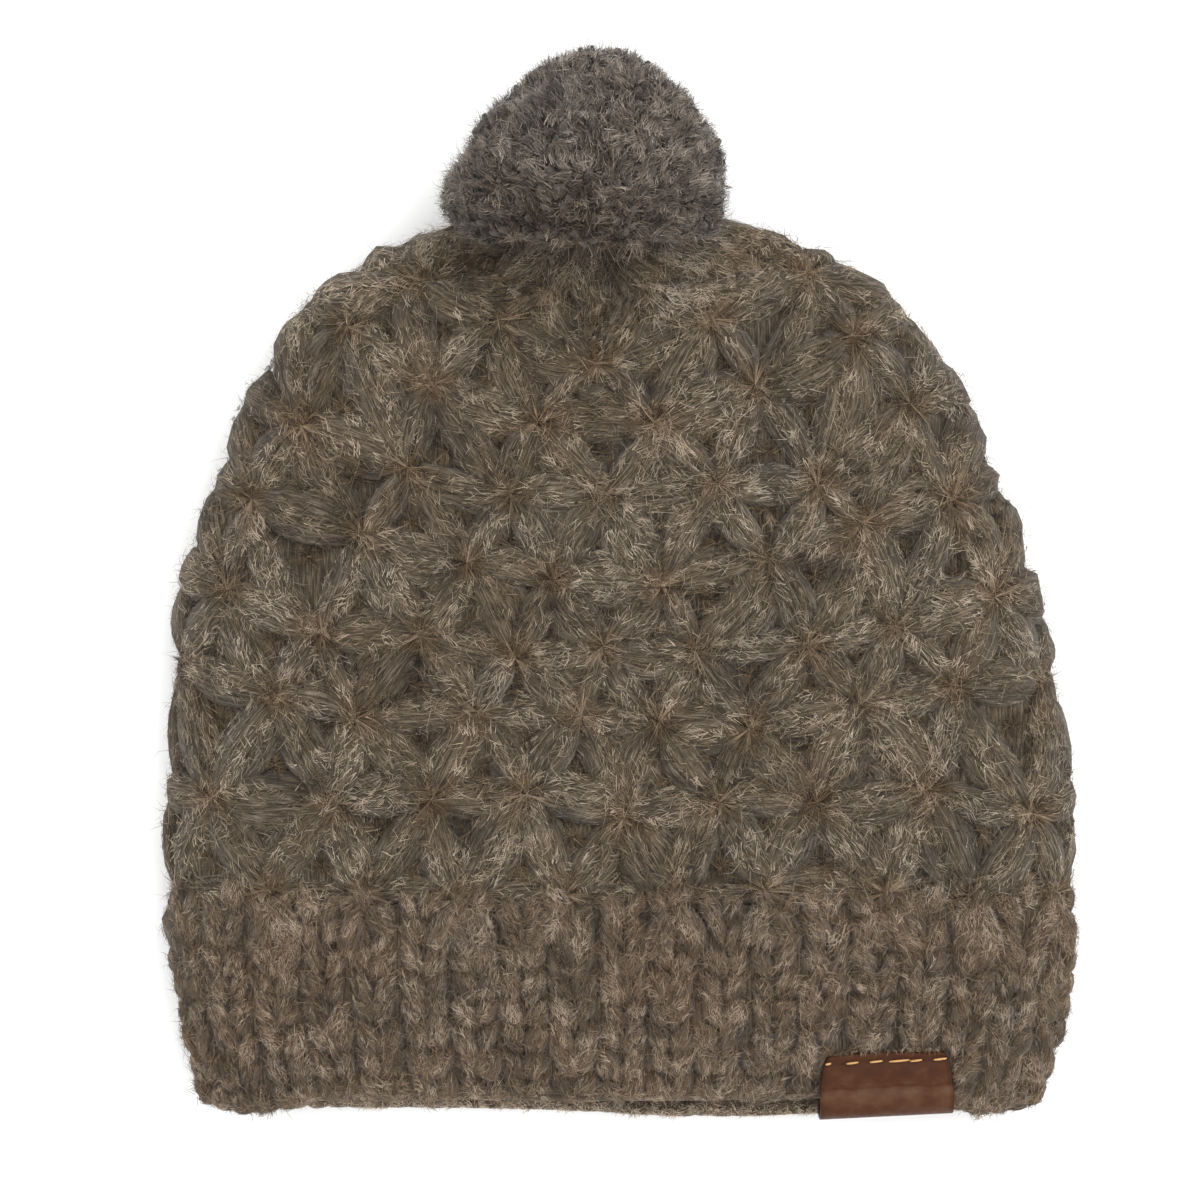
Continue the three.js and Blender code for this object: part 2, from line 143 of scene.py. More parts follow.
# %% [markdown]
# ## The cloth as a map
# Stitches follow the cloth, so they are easiest to place with two numbers: the round of knitting they
# belong to, and how far they lie around the hat. Each table below gives the rounds of one piece, in
# millimetres, with the same values as the solids have. Reading a table smoothly gives the closed section at
# any round, and a fine grid of sections becomes a map that turns a round and a turn into a place and an
# outward direction.

# %% Rounds of the crown and the band
COLUMNS = ("middle_y", "edge_y", "half_width", "centre_x", "bottom", "height")
CROWN_ROUNDS = np.array([
    (-86.0, -86.0, 124.2, 1.2, 0, 33),
    (-59.3, -57.0, 124.6, 0.8, 0, 36),
    (-36.2, -28.0, 121.0, -0.8, 0, 38),
    (-17.1, 1.1, 117.4, -2.6, 0, 39),
    (3.8, 29.3, 107.4, -2.6, 0, 39),
    (22.8, 54.8, 97.2, -3.0, 0, 38),
    (42.7, 77.6, 81.6, -4.0, 1, 36),
    (62.6, 92.4, 60.2, -4.6, 4, 31),
    (80.8, 98.4, 35.4, -6.0, 9, 24),
    (94.0, 100.0, 9.0, -7.0, 15, 11),
])
BAND_ROUNDS = np.array([
    (-86.3, -86.3, 123.8, 1.2, 0, 33),
    (-100.0, -100.0, 124.2, 1.6, 0, 33),
    (-115.0, -115.0, 122.4, 1.6, 0, 32),
    (-129.0, -129.0, 119.0, 1.4, 0, 30),
    (-137.8, -137.2, 115.6, 1.0, 0, 28),
    (-140.2, -140.0, 112.6, 1.0, 1.6, 24.6),
])
CROWN_TOP = len(CROWN_ROUNDS) - 1
BAND_RIM = len(BAND_ROUNDS) - 1


def column(rounds, name, at):
    """A named column of a table of rounds, read smoothly between its rows."""
    values = rounds[:, COLUMNS.index(name)]
    last = len(values) - 1
    row = np.clip(np.floor(at).astype(int), 0, last - 1)
    part = at - row
    before, here, after, beyond = (values[np.clip(row + step, 0, last)] for step in (-1, 0, 1, 2))
    square, cube = part ** 2, part ** 3
    return (here * (2 * cube - 3 * square + 1) + (after - before) / 2 * (cube - 2 * square + part)
            + after * (3 * square - 2 * cube) + (beyond - here) / 2 * (cube - square))


print("rounds of star stitch:", CROWN_TOP, "and rows of the band's table:", BAND_RIM + 1)

# %% Sections of the lying hat
FRONT_POWER = 3.4
BACK_POWER = 9
BACK_FULLNESS = 1.16
FOLD_HEIGHT = 0.44
SECTION_SAMPLES = 720
ROW_STEP = 0.05


def cloth_sections(rounds, rows, count, fold=0.0, face=0.0, rim_shape=None):
    """Closed sections of the cloth, evenly spaced points each, set in from the outside by fold and face."""
    at = np.asarray(rows, float)[:, None]
    value = {name: column(rounds, name, at) for name in COLUMNS}
    widen, climb = (column(rounds, name, at + ROW_STEP) - column(rounds, name, at - ROW_STEP)
                    for name in ("half_width", "edge_y"))
    run = np.hypot(widen, climb) * np.where(climb < 0, -1, 1)
    half_width = np.maximum(value["half_width"] - fold * climb / run, 1)
    edge_y = value["edge_y"] + fold * widen / run
    bottom = value["bottom"] + face
    height = value["height"] - 2 * face
    fold_z = bottom + height * FOLD_HEIGHT
    angle = np.linspace(0, 2 * np.pi, SECTION_SAMPLES + 1)[None, :]
    across = np.sin(angle)
    front = np.cos(angle) >= 0
    rise = np.sqrt(np.maximum(0, 1 - np.abs(across) ** np.where(front, FRONT_POWER, BACK_POWER)))
    upper = fold_z + height * (1 - FOLD_HEIGHT) * rise
    lower = np.maximum(bottom, fold_z - height * FOLD_HEIGHT * BACK_FULLNESS * rise)
    y = edge_y + (value["middle_y"] - edge_y) * (1 - across ** 2)
    if rim_shape:
        y = y + rim_shape(at, across, front)
    dense = np.stack([value["centre_x"] + half_width * across, y, np.where(front, upper, lower)], axis=-1)
    steps = np.linalg.norm(np.diff(dense, axis=1), axis=-1)
    lengths = np.concatenate([np.zeros((len(dense), 1)), np.cumsum(steps, axis=1)], axis=1)
    made = np.empty((len(dense), count, 3))
    for row, (points, length) in enumerate(zip(dense, lengths)):
        want = length[-1] * np.arange(count) / count
        for axis in range(3):
            made[row, :, axis] = np.interp(want, length, points[:, axis])
    return made


print("one section has", cloth_sections(CROWN_ROUNDS, [0], 76).shape[1], "places")

# %% Map of the cloth
MAP_ROWS_PER_ROUND = 16
MAP_TURNS = 760
TURN_STEP = 0.004


def unit(vectors):
    """Vectors that keep their direction and get a length of 1."""
    return vectors / np.maximum(np.linalg.norm(vectors, axis=-1, keepdims=True), 1e-9)


def dot(first, second):
    return (first * second).sum(axis=-1)


class ClothMap:
    """Turns a round and a turn around the hat into a place on the cloth and its outward direction.

    Rounds a little below the first one carry straight on from it."""

    def __init__(self, rounds, facing, rim_shape=None):
        self.last = (len(rounds) - 1) * MAP_ROWS_PER_ROUND
        rows = np.arange(self.last + 1) / MAP_ROWS_PER_ROUND
        self.places = cloth_sections(rounds, rows, MAP_TURNS, rim_shape=rim_shape)
        around = np.roll(self.places, -1, axis=1) - np.roll(self.places, 1, axis=1)
        self.outward = unit(np.cross(around, np.gradient(self.places, axis=0)) * facing)

    def at(self, row, turn):
        """Place and outward direction at a round and a turn, read between the points of the grid."""
        row, turn = np.broadcast_arrays(row, turn)
        down = np.clip(row * MAP_ROWS_PER_ROUND, -MAP_ROWS_PER_ROUND, self.last - 1e-6)
        side = (turn % 1) * MAP_TURNS
        low, left = np.floor(np.maximum(down, 0)).astype(int), np.floor(side).astype(int)
        v, u = (down - low)[..., None], (side - left)[..., None]
        left, right = left % MAP_TURNS, (left + 1) % MAP_TURNS
        mixed = [((grid[low, left] * (1 - u) + grid[low, right] * u) * (1 - v)
                  + (grid[low + 1, left] * (1 - u) + grid[low + 1, right] * u) * v)
                 for grid in (self.places, self.outward)]
        return mixed[0], unit(mixed[1])

    def moved(self, row, turn, offset):
        """Round and turn of a place that is moved along the cloth by an offset in millimetres."""
        by_row = (self.at(row + ROW_STEP, turn)[0] - self.at(row - ROW_STEP, turn)[0]) / (2 * ROW_STEP)
        by_turn = (self.at(row, turn + TURN_STEP)[0] - self.at(row, turn - TURN_STEP)[0]) / (2 * TURN_STEP)
        area = np.maximum(dot(by_row, by_row) * dot(by_turn, by_turn) - dot(by_row, by_turn) ** 2, 1e-6)
        more_row = dot(by_turn, by_turn) * dot(by_row, offset) - dot(by_row, by_turn) * dot(by_turn, offset)
        more_turn = dot(by_row, by_row) * dot(by_turn, offset) - dot(by_row, by_turn) * dot(by_row, offset)
        return row + more_row / area, turn + more_turn / area


# %% [markdown]
# The band's rim isn't a plain cut. Its two corners hang a little lower than its middle, where the cloth is
# folded, and the back layer peeks out below the front one. Both are small hills along the section, which
# grow from nothing at the seam to their full height at the rim.

# %% Shape of the rim
RIM_CORNER_DROP, RIM_CORNER_PLACE, RIM_CORNER_SPREAD = 4.6, 0.89, 0.13
BACK_RIM_PEEK, BACK_RIM_PEEK_PLACE, BACK_RIM_PEEK_SPREAD = 2.4, 0.24, 0.34


def band_rim_shape(at, across, front):
    """The rim drops at its two corners, and the back layer peeks out a little below the front one."""
    share = np.clip((at - 1) / (BAND_RIM - 2), 0, 1)
    share = share * share * (3 - 2 * share)
    corner = np.exp(-((np.abs(across) - RIM_CORNER_PLACE) / RIM_CORNER_SPREAD) ** 2)
    peek = np.exp(-((across - BACK_RIM_PEEK_PLACE) / BACK_RIM_PEEK_SPREAD) ** 2)
    return -share * (RIM_CORNER_DROP * corner + np.where(front, 0, BACK_RIM_PEEK * peek))


crown_map = ClothMap(CROWN_ROUNDS, 1)
band_map = ClothMap(BAND_ROUNDS, -1, band_rim_shape)
print("crown map", crown_map.places.shape[:2], "band map", band_map.places.shape[:2])

# %% [markdown]
# ## Meshes from arrays
# A hat has hundreds of stitches and many thousands of fibres. One object for each would make Blender crawl,
# so all stitches of one kind are worked out together as arrays and become one joined mesh. Besides its
# faces the mesh carries what the materials need: where a point lies along its yarn, how warm its colour is,
# and a shade for each fibre. Each stitch also gets its own small field of the UV map, so that its colours
# can be baked later.

# %% Joined mesh
def joined_mesh(name, points, polygons, material, values=None, uv=None, normals=None):
    """One object from points in millimetres and a list of arrays of equal-sided polygons."""
    mesh = bpy.data.meshes.new(name)
    mesh.vertices.add(len(points))
    mesh.vertices.foreach_set("co", (np.asarray(points) * MM).astype(np.float32).ravel())
    corners = np.concatenate([p.ravel() for p in polygons]).astype(np.int32)
    sizes = np.concatenate([np.full(len(p), p.shape[1]) for p in polygons])
    mesh.loops.add(len(corners))
    mesh.loops.foreach_set("vertex_index", corners)
    mesh.polygons.add(len(sizes))
    mesh.polygons.foreach_set("loop_start", (np.cumsum(sizes) - sizes).astype(np.int32))
    mesh.polygons.foreach_set("use_smooth", np.ones(len(sizes), bool))
    for key, data in (values or {}).items():
        kind, slot = ("FLOAT_VECTOR", "vector") if np.ndim(data) == 2 else ("FLOAT", "value")
        layer = mesh.attributes.new(key, kind, "POINT")
        layer.data.foreach_set(slot, np.asarray(data, np.float32).ravel())
    if uv is not None:
        layer = mesh.uv_layers.new(name="OFBake")
        layer.data.foreach_set("uv", np.asarray(uv, np.float32)[corners].ravel())
    mesh.update(calc_edges=True)
    if normals is not None:
        mesh.normals_split_custom_set_from_vertices(np.asarray(normals, np.float32))
    made = bpy.data.objects.new(name, mesh)
    made.data.materials.append(material)
    bpy.context.collection.objects.link(made)
    triangles = int((sizes - 2).sum())
    print(f"{name}: {triangles} triangles")
    return made


# %% Grids and UV fields
FIELD_MARGIN = 0.04


def grid_quads(lines, sides, closed=True):
    """The squares between the lines of a grid of points, whose lines may close into rings."""
    line, side = np.meshgrid(np.arange(lines - 1), np.arange(sides if closed else sides - 1), indexing="ij")
    here, after = line * sides + side, line * sides + (side + 1) % sides
    return np.stack([here, after, after + sides, here + sides], axis=-1).reshape(-1, 4)


def uv_fields(count, u, v):
    """Lays count small fields side by side in the UV square; u and v run from 0 to 1 inside each field."""
    across = int(np.ceil(np.sqrt(count)))
    index = np.arange(count).reshape(-1, *([1] * (np.ndim(u) - 1)))
    inner = 1 - 2 * FIELD_MARGIN
    place = np.stack([(index % across + FIELD_MARGIN + inner * u) / across,
                      (index // across + FIELD_MARGIN + inner * v) / across], axis=-1)
    return place.reshape(-1, 2)


print("a tube of 3 rings with 6 sides has", len(grid_quads(3, 6)), "squares")

# %% [markdown]
# ## Wool
# Heathered wool is spun from dark, middle and pale fibres, so from near it is streaky along the yarn and
# from afar it is one soft taupe with warmer and greyer patches. Two node groups say this once for the whole
# hat. One makes streaks that run along a yarn from the point data of the mesh, the other turns a streak or
# a fibre's shade into a colour. The wool materials place both with their own values.

# %% Node helpers
COLOUR_A, COLOUR_B, COLOUR_OUT = 6, 7, 2


def new_group(name, inputs, outputs):
    """A shader node group with named sockets, and its two end nodes."""
    group = bpy.data.node_groups.new(name, "ShaderNodeTree")
    for title, kind, value in inputs:
        socket = group.interface.new_socket(title, in_out="INPUT", socket_type=kind)
        socket.default_value = value
    for title, kind in outputs:
        group.interface.new_socket(title, in_out="OUTPUT", socket_type=kind)
    return group, group.nodes.new("NodeGroupInput"), group.nodes.new("NodeGroupOutput")


def math_node(nodes, links, operation, *values, clamp=False):
    """A Math node; each of its inputs is a number or the output of another node."""
    made = nodes.new("ShaderNodeMath")
    made.operation = operation
    made.use_clamp = clamp
    for socket, value in zip(made.inputs, values):
        if isinstance(value, (int, float)):
            socket.default_value = value
        else:
            links.new(value, socket)
    return made.outputs["Value"]


def stretch_node(nodes, links, vector):
    """A node that multiplies a place by the scales on its second input."""
    made = nodes.new("ShaderNodeVectorMath")
    made.operation = "MULTIPLY"
    links.new(vector, made.inputs[0])
    return made


def noise_node(nodes, links, vector, scale, detail, roughness=0.5):
    made = nodes.new("ShaderNodeTexNoise")
    made.inputs["Scale"].default_value = scale
    made.inputs["Detail"].default_value = detail
    made.inputs["Roughness"].default_value = roughness
    links.new(vector, made.inputs["Vector"])
    return made.outputs["Fac"]


def rescale(nodes, links, value, low, high, to_low=0.0, to_high=1.0):
    """Moves a value from one range to another, and holds it at the ends."""
    made = nodes.new("ShaderNodeMapRange")
    made.inputs["From Min"].default_value = low
    made.inputs["From Max"].default_value = high
    made.inputs["To Min"].default_value = to_low
    made.inputs["To Max"].default_value = to_high
    links.new(value, made.inputs["Value"])
    return made.outputs["Result"]


def mix_colours(nodes, links, factor, first, second, blend="MIX"):
    """Mixes two colours; the second one is an output of another node or a plain tint."""
    mix = nodes.new("ShaderNodeMix")
    mix.data_type = "RGBA"
    mix.blend_type = blend
    links.new(factor, mix.inputs["Factor"])
    links.new(first, mix.inputs[COLOUR_A])
    if isinstance(second, tuple):
        mix.inputs[COLOUR_B].default_value = second
    else:
        links.new(second, mix.inputs[COLOUR_B])
    return mix.outputs[COLOUR_OUT]


print("a Mix node keeps its colours on inputs", COLOUR_A, "and", COLOUR_B)

# %% Node group: yarn streaks
streaks, given, result = new_group(
    "yarn_streaks",
    [("Along", "NodeSocketFloat", 0.16), ("Across", "NodeSocketFloat", 1.9),
     ("Contrast", "NodeSocketFloat", 2.6)],
    [("Streak", "NodeSocketFloat"), ("Height", "NodeSocketFloat")])
nodes, links = streaks.nodes, streaks.links
yarn = nodes.new("ShaderNodeAttribute")
yarn.attribute_name = "yarn"
scales = nodes.new("ShaderNodeCombineXYZ")
scales.inputs["Z"].default_value = 1.0
links.new(given.outputs["Along"], scales.inputs["X"])
links.new(given.outputs["Across"], scales.inputs["Y"])
stretched = stretch_node(nodes, links, yarn.outputs["Vector"])
links.new(scales.outputs["Vector"], stretched.inputs[1])
fibres = noise_node(nodes, links, stretched.outputs["Vector"], 1.0, 4.0, 0.7)
centred = math_node(nodes, links, "SUBTRACT", fibres, 0.5)
spread = math_node(nodes, links, "MULTIPLY_ADD", centred, given.outputs["Contrast"], 0.5, clamp=True)
links.new(spread, result.inputs["Streak"])
links.new(fibres, result.inputs["Height"])
print("group yarn_streaks:", len(nodes), "nodes")

# %% Node group: heather
BLACK = (0, 0, 0, 1)
WARM_TINT, GREY_TINT = (0.88, 0.74, 0.58, 1), (0.56, 0.56, 0.57, 1)
PATCH_SCALE, TUFT_SCALE = 34.0, 80.0

heather, given, result = new_group(
    "heather",
    [("Streak", "NodeSocketFloat", 0.5), ("Dark", "NodeSocketColor", BLACK),
     ("Middle", "NodeSocketColor", BLACK), ("Pale", "NodeSocketColor", BLACK),
     ("Patch", "NodeSocketFloat", 0.3), ("Mottle", "NodeSocketFloat", 0.8), ("Warm", "NodeSocketFloat", 0.0)],
    [("Color", "NodeSocketColor")])
nodes, links = heather.nodes, heather.links
darker = rescale(nodes, links, given.outputs["Streak"], 0.0, 0.5)
paler = rescale(nodes, links, given.outputs["Streak"], 0.5, 1.0)
lower = mix_colours(nodes, links, darker, given.outputs["Dark"], given.outputs["Middle"])
plain = mix_colours(nodes, links, paler, lower, given.outputs["Pale"])
place = nodes.new("ShaderNodeTexCoord")
patches = noise_node(nodes, links, place.outputs["Object"], PATCH_SCALE, 3.0)
weight = math_node(nodes, links, "MULTIPLY_ADD", rescale(nodes, links, patches, 0.35, 0.65),
                   given.outputs["Patch"], given.outputs["Warm"], clamp=True)
warm = mix_colours(nodes, links, weight, plain, WARM_TINT, "MULTIPLY")
tufts = noise_node(nodes, links, place.outputs["Object"], TUFT_SCALE, 4.0, 0.6)
tufted = rescale(nodes, links, tufts, 0.42, 0.66)
greyer = math_node(nodes, links, "MULTIPLY", tufted, given.outputs["Mottle"])
links.new(mix_colours(nodes, links, greyer, warm, GREY_TINT, "MULTIPLY"), result.inputs["Color"])
print("group heather:", len(nodes), "nodes")

# %% [markdown]
# Yarn and fibres share one set of tones, since they are the same wool. The yarn lies in the shade of its
# own fibres, so its tones are halved, and its streaks follow its length. A fibre is too thin for streaks,
# so the mesh carries one shade for each. The edge that rolls up at the back has paler tones, painted light
# for the light it catches from the white table.

# %% Wool materials
WOOL_TONES = {
    "crown": (srgb(25, 16, 9), srgb(99, 85, 66), srgb(168, 155, 138)),
    "band": (srgb(36, 25, 16), srgb(109, 92, 73), srgb(164, 149, 132)),
    "pompom": (srgb(26, 20, 15), srgb(106, 97, 88), srgb(176, 166, 156)),
    # painted light: paler tones for the edge that rolls up at the back
    "painted_light_rolled_edge": (srgb(62, 49, 37), srgb(142, 126, 107), srgb(196, 181, 162)),
}
YARN_SHADE = 0.5
STRAND_DEPTH, STRAND_STRENGTH = 1.2, 0.5


def place_group(nodes, group, **values):
    """A node group placed in a material, with its own values on the named inputs."""
    made = nodes.new("ShaderNodeGroup")
    made.node_tree = group
    for title, value in values.items():
        made.inputs[title].default_value = value
    return made


def wool_material(name, tones, from_fibres):
    """Wool for stitches, whose streaks run along the yarn, or for fibres, which carry their own shade."""
    made = bpy.data.materials.new(name)
    made.use_nodes = True
    nodes, links = made.node_tree.nodes, made.node_tree.links
    shader = nodes["Principled BSDF"]
    shader.inputs["Roughness"].default_value = 0.9
    shader.inputs["Specular IOR Level"].default_value = 0.15
    shader.inputs["Sheen Weight"].default_value = 0.12
    shader.inputs["Sheen Roughness"].default_value = 0.6
    if not from_fibres:
        tones = [(*(YARN_SHADE * v for v in tone[:3]), 1.0) for tone in tones]
    colour = place_group(nodes, heather, Dark=tones[0], Middle=tones[1], Pale=tones[2])
    warm = nodes.new("ShaderNodeAttribute")
    warm.attribute_name = "warm"
    links.new(warm.outputs["Fac"], colour.inputs["Warm"])
    if from_fibres:
        shade = nodes.new("ShaderNodeAttribute")
        shade.attribute_name = "shade"
        links.new(shade.outputs["Fac"], colour.inputs["Streak"])
    else:
        strands = place_group(nodes, streaks)
        bump = nodes.new("ShaderNodeBump")
        bump.inputs["Strength"].default_value = STRAND_STRENGTH
        bump.inputs["Distance"].default_value = STRAND_DEPTH * MM
        links.new(strands.outputs["Streak"], colour.inputs["Streak"])
        links.new(strands.outputs["Height"], bump.inputs["Height"])
        links.new(bump.outputs["Normal"], shader.inputs["Normal"])
    links.new(colour.outputs["Color"], shader.inputs["Base Color"])
    return made


crown_yarn = wool_material("crown_yarn", WOOL_TONES["crown"], False)
crown_fibre = wool_material("crown_fibre", WOOL_TONES["crown"], True)
band_yarn = wool_material("band_yarn", WOOL_TONES["band"], False)
band_fibre = wool_material("band_fibre", WOOL_TONES["band"], True)
# painted light: the rolled edge's fibres get paler tones
painted_light_edge_fibre = wool_material("painted_light_edge_fibre", WOOL_TONES["painted_light_rolled_edge"], True)
pompom_yarn = wool_material("pompom_yarn", WOOL_TONES["pompom"], False)
pompom_fibre = wool_material("pompom_fibre", WOOL_TONES["pompom"], True)
print("wool materials:", [m.name for m in bpy.data.materials if "yarn" in m.name or "fibre" in m.name])

# %% [markdown]
# ## Puffs of yarn
# Both the star stitch and the V stitch are loops of soft yarn pulled up between two stitch points. Such a
# loop is a spindle: thin and sunk where it is pinched, thick and high between, and it bends with the cloth
# that it lies on. A curve with a bevel could make one, but not hundreds that follow a folded hat. Here one
# function gives the skin of any puff at a share of its length and an angle round it. It serves twice, first
# on a regular grid to make the stitches, and later at random places to root the loose fibres on them. The
# values of a puff are the round and turn of its two stitch points, its half width and half height, how far
# it bows to one side, how thick its ends stay, the number, depth, twist and phase of its strands, and how
# deep its middle and its ends sink into the cloth.

# %% Puff skin
SWELL_POWER = 0.7
FOLD_LIFT = 0.9
SHARE_STEP = 0.04
ABOVE_TABLE = 0.05
ANY_PHASE, STAR_STRANDS, RIB_STRANDS = 6.3, 7.0, 6.0


def spot_along(puffs, share):
    """Round and turn of a place between a puff's two stitch points."""
    return tuple(puffs[key][0] + (puffs[key][1] - puffs[key][0]) * share for key in ("row", "turn"))


def puff_skin(cloth, puffs, share, angle):
    """Place, direction along the yarn and outward direction on puffs between two stitch points each."""
    row, turn = spot_along(puffs, share)
    rise = np.sin(np.pi * np.clip(share, 0, 1)) ** SWELL_POWER
    out = cloth.at(row, turn)[1]
    ahead = cloth.at(*spot_along(puffs, share + SHARE_STEP))[0]
    behind = cloth.at(*spot_along(puffs, share - SHARE_STEP))[0]
    along = unit(ahead - behind)
    side = unit(np.cross(out, along))
    swell = puffs["end_share"] + (1 - puffs["end_share"]) * rise
    strand = puffs["flutes"] * angle + puffs["twist"] * share + puffs["phase"]
    flute = 1 + puffs["flute_depth"] * np.cos(strand)
    wide = puffs["half_width"] * swell * flute * np.cos(angle) + puffs["bow"] * rise
    high = puffs["half_height"] * swell * flute * np.sin(angle)
    sink = puffs["sink_end"] + (puffs["sink_middle"] - puffs["sink_end"]) * rise
    place, out = cloth.at(*cloth.moved(row, turn, side * wide[..., None]))
    skin = place + out * (high - sink + FOLD_LIFT * (1 - np.abs(out[..., 2])))[..., None]
    facing = unit(side * (np.cos(angle) * puffs["half_height"])[..., None]
                  + out * (np.sin(angle) * puffs["half_width"])[..., None])
    skin[..., 2] = np.maximum(skin[..., 2], ABOVE_TABLE)
    return skin, along, facing


def pick(puffs, index):
    """The values of chosen puffs, shaped so that they can be used beside shares and angles."""
    return {key: value[:, index] if key in ("row", "turn") else value[index] for key, value in puffs.items()}


def puff_lengths(cloth, puffs):
    """How long the cloth is between the two stitch points of each puff."""
    steps = [cloth.at(*spot_along(puffs, share))[0] for share in np.linspace(0, 1, 9)]
    return sum(np.linalg.norm(b - a, axis=-1) for a, b in zip(steps, steps[1:]))


whole = {"row": np.array([[0], [CROWN_TOP]]), "turn": np.zeros((2, 1))}
print("the crown's front measures", puff_lengths(crown_map, whole).round(1), "mm from seam to top")

# %% Puff mesh
PINCH_WARMTH = 0.75
YARN_APART = 3.7


def pinch_warmth(share):
    """The pinched ends of a puff are a warmer brown than its middle."""
    return PINCH_WARMTH * (1 - np.clip(np.sin(np.pi * share), 0, 1)) ** 2


def puff_mesh(name, cloth, puffs, rings, sides, material):
    """All puffs of one kind as one mesh: a grid of rings for each, closed at both ends."""
    count = len(puffs["half_width"])
    shaped = {key: value[..., None, None] for key, value in puffs.items()}
    share = np.linspace(0, 1, rings)[None, :, None]
    angle = (2 * np.pi * np.arange(sides) / sides)[None, None, :]
    share, angle = np.broadcast_arrays(share, angle)
    share, angle = (np.repeat(a, count, axis=0) for a in (share, angle))
    skin, _, _ = puff_skin(cloth, shaped, share, angle)
    start = (np.arange(count) * rings * sides)[:, None, None]
    fan = np.stack([np.zeros(sides - 2, int), np.arange(2, sides), np.arange(1, sides - 1)], axis=-1)
    caps = np.concatenate([fan, fan[:, ::-1] + (rings - 1) * sides])
    quads = (start + grid_quads(rings, sides)).reshape(-1, 4)
    triangles = (start + caps).reshape(-1, 3)
    length = puff_lengths(cloth, puffs)[:, None, None]
    seed = (np.arange(count) * YARN_APART)[:, None, None] + np.zeros_like(share)
    yarn = np.stack([share * length, angle * shaped["half_width"], seed], axis=-1).reshape(-1, 3)
    warm = pinch_warmth(share).reshape(-1)
    return joined_mesh(name, skin.reshape(-1, 3), [quads, triangles], material,
                       {"yarn": yarn, "warm": warm}, uv_fields(count, share, angle / (2 * np.pi)))


# %% [markdown]
# ## Star stitches of the crown
# In star stitch a puff of yarn runs from each pinched centre to its six neighbours, so every centre looks
# like a flower with six petals. The centres lie on nine rounds, each round half a star on from the last,
# with fewer stars as the crown narrows, and the top round runs on into the gathered crown. Copies of one
# modelled star would look stamped, and hand work is never regular, so each centre moves a little, and each
# puff bows and is thicker or thinner than the next.

# %% Star centres
STARS_IN_ROUND = (19, 19, 19, 19, 17, 15, 13, 10, 6)
CENTRE_WANDER_ROUNDS = 0.1
CENTRE_WANDER_STARS = 0.1
SEAM_LIFT, SEAM_WANDER = 0.14, 0.06


def even_turn(j, i):
    """Where a star centre would lie around the hat if the work were quite even."""
    return (i + (0.5 if j % 2 == 0 else 0.0)) / STARS_IN_ROUND[j]


random = np.random.default_rng(19)
star_row, star_turn = [], []
for j, stars in enumerate(STARS_IN_ROUND):
    star_row.append(j + random.normal(0, CENTRE_WANDER_ROUNDS, stars))
    star_turn.append(even_turn(j, np.arange(stars)) + random.normal(0, CENTRE_WANDER_STARS, stars) / stars)
star_row[0] = SEAM_LIFT + random.uniform(-SEAM_WANDER, SEAM_WANDER, STARS_IN_ROUND[0])
print("star centres:", sum(STARS_IN_ROUND))

# %% Puffs between the centres
NEIGHBOUR = 1.0
GATHERS, GATHER_START, GATHER_END, GATHER_WANDER = 16, 7.6, 8.98, 0.12

links_between = []
for j, stars in enumerate(STARS_IN_ROUND):
    if j < CROWN_TOP - 1:
        links_between += [((j, i), (j, i + 1)) for i in range(stars)]
    for above in STARS_IN_ROUND[j + 1:j + 2]:
        links_between += [((j, i), (j + 1, k)) for i in range(stars) for k in range(-1, above + 1)
                          if abs(even_turn(j + 1, k) - even_turn(j, i)) * (stars + above) / 2 < NEIGHBOUR]


def centre_of(star):
    """Round and turn of a star centre, counted on past the start of the round where need be."""
    j, i = star
    laps, i = divmod(i, STARS_IN_ROUND[j])
    return star_row[j][i], star_turn[j][i] + laps


ends = np.array([[centre_of(a), centre_of(b)] for a, b in links_between])
gather_turn = (np.arange(GATHERS) + random.normal(0, GATHER_WANDER, GATHERS)) / GATHERS
gathers = np.array([[(GATHER_START + random.normal(0, GATHER_WANDER), turn), (GATHER_END, turn)]
                    for turn in gather_turn])
ends = np.concatenate([ends, gathers])
on_seam = np.array([a[0] == b[0] == 0 for a, b in links_between] + [False] * GATHERS)
print("star puffs:", len(links_between), "and gathers at the top:", GATHERS)

# %% Sizes of the star puffs
PUFF_WIDTH, PUFF_HEIGHT, WIDEST_PUFF, TALLEST_PUFF = 0.285, 0.17, 8.4, 5.2
SEAM_WIDTH, SEAM_HEIGHT, SEAM_SINK = 0.75, 0.6, 1.6
END_SINK, DEEPEST_END = 0.2, 4.4
GATHER_RISE = 1.2
STAR_RINGS, STAR_SIDES = 8, 12

count = len(ends)
star_puffs = {"row": ends[:, :, 0].T, "turn": ends[:, :, 1].T}
long = puff_lengths(crown_map, star_puffs)
wider = random.normal(1, 0.15, count).clip(0.65, 1.3) * np.where(on_seam, SEAM_WIDTH, 1)
taller = random.normal(1, 0.1, count) * np.where(on_seam, SEAM_HEIGHT, 1)
star_puffs.update(
    half_width=np.minimum(PUFF_WIDTH * long, WIDEST_PUFF) * wider,
    half_height=np.minimum(PUFF_HEIGHT * long, TALLEST_PUFF) * taller,
    bow=random.normal(0, 0.06, count) * long,
    end_share=np.full(count, 0.2),
    flutes=np.full(count, STAR_STRANDS),
    flute_depth=random.uniform(0.07, 0.13, count),
    twist=random.normal(0, 0.8, count),
    phase=random.uniform(0, ANY_PHASE, count))
lower = random.uniform(-0.9, 0.9, count) + np.where(on_seam, SEAM_SINK, 0)
star_puffs["sink_middle"] = star_puffs["half_height"] + lower
star_puffs["sink_middle"][-GATHERS:] -= GATHER_RISE
star_puffs["sink_end"] = np.minimum(DEEPEST_END, END_SINK * long)
crown_stitches = puff_mesh("crown_stitches", crown_map, star_puffs, STAR_RINGS, STAR_SIDES, crown_yarn)
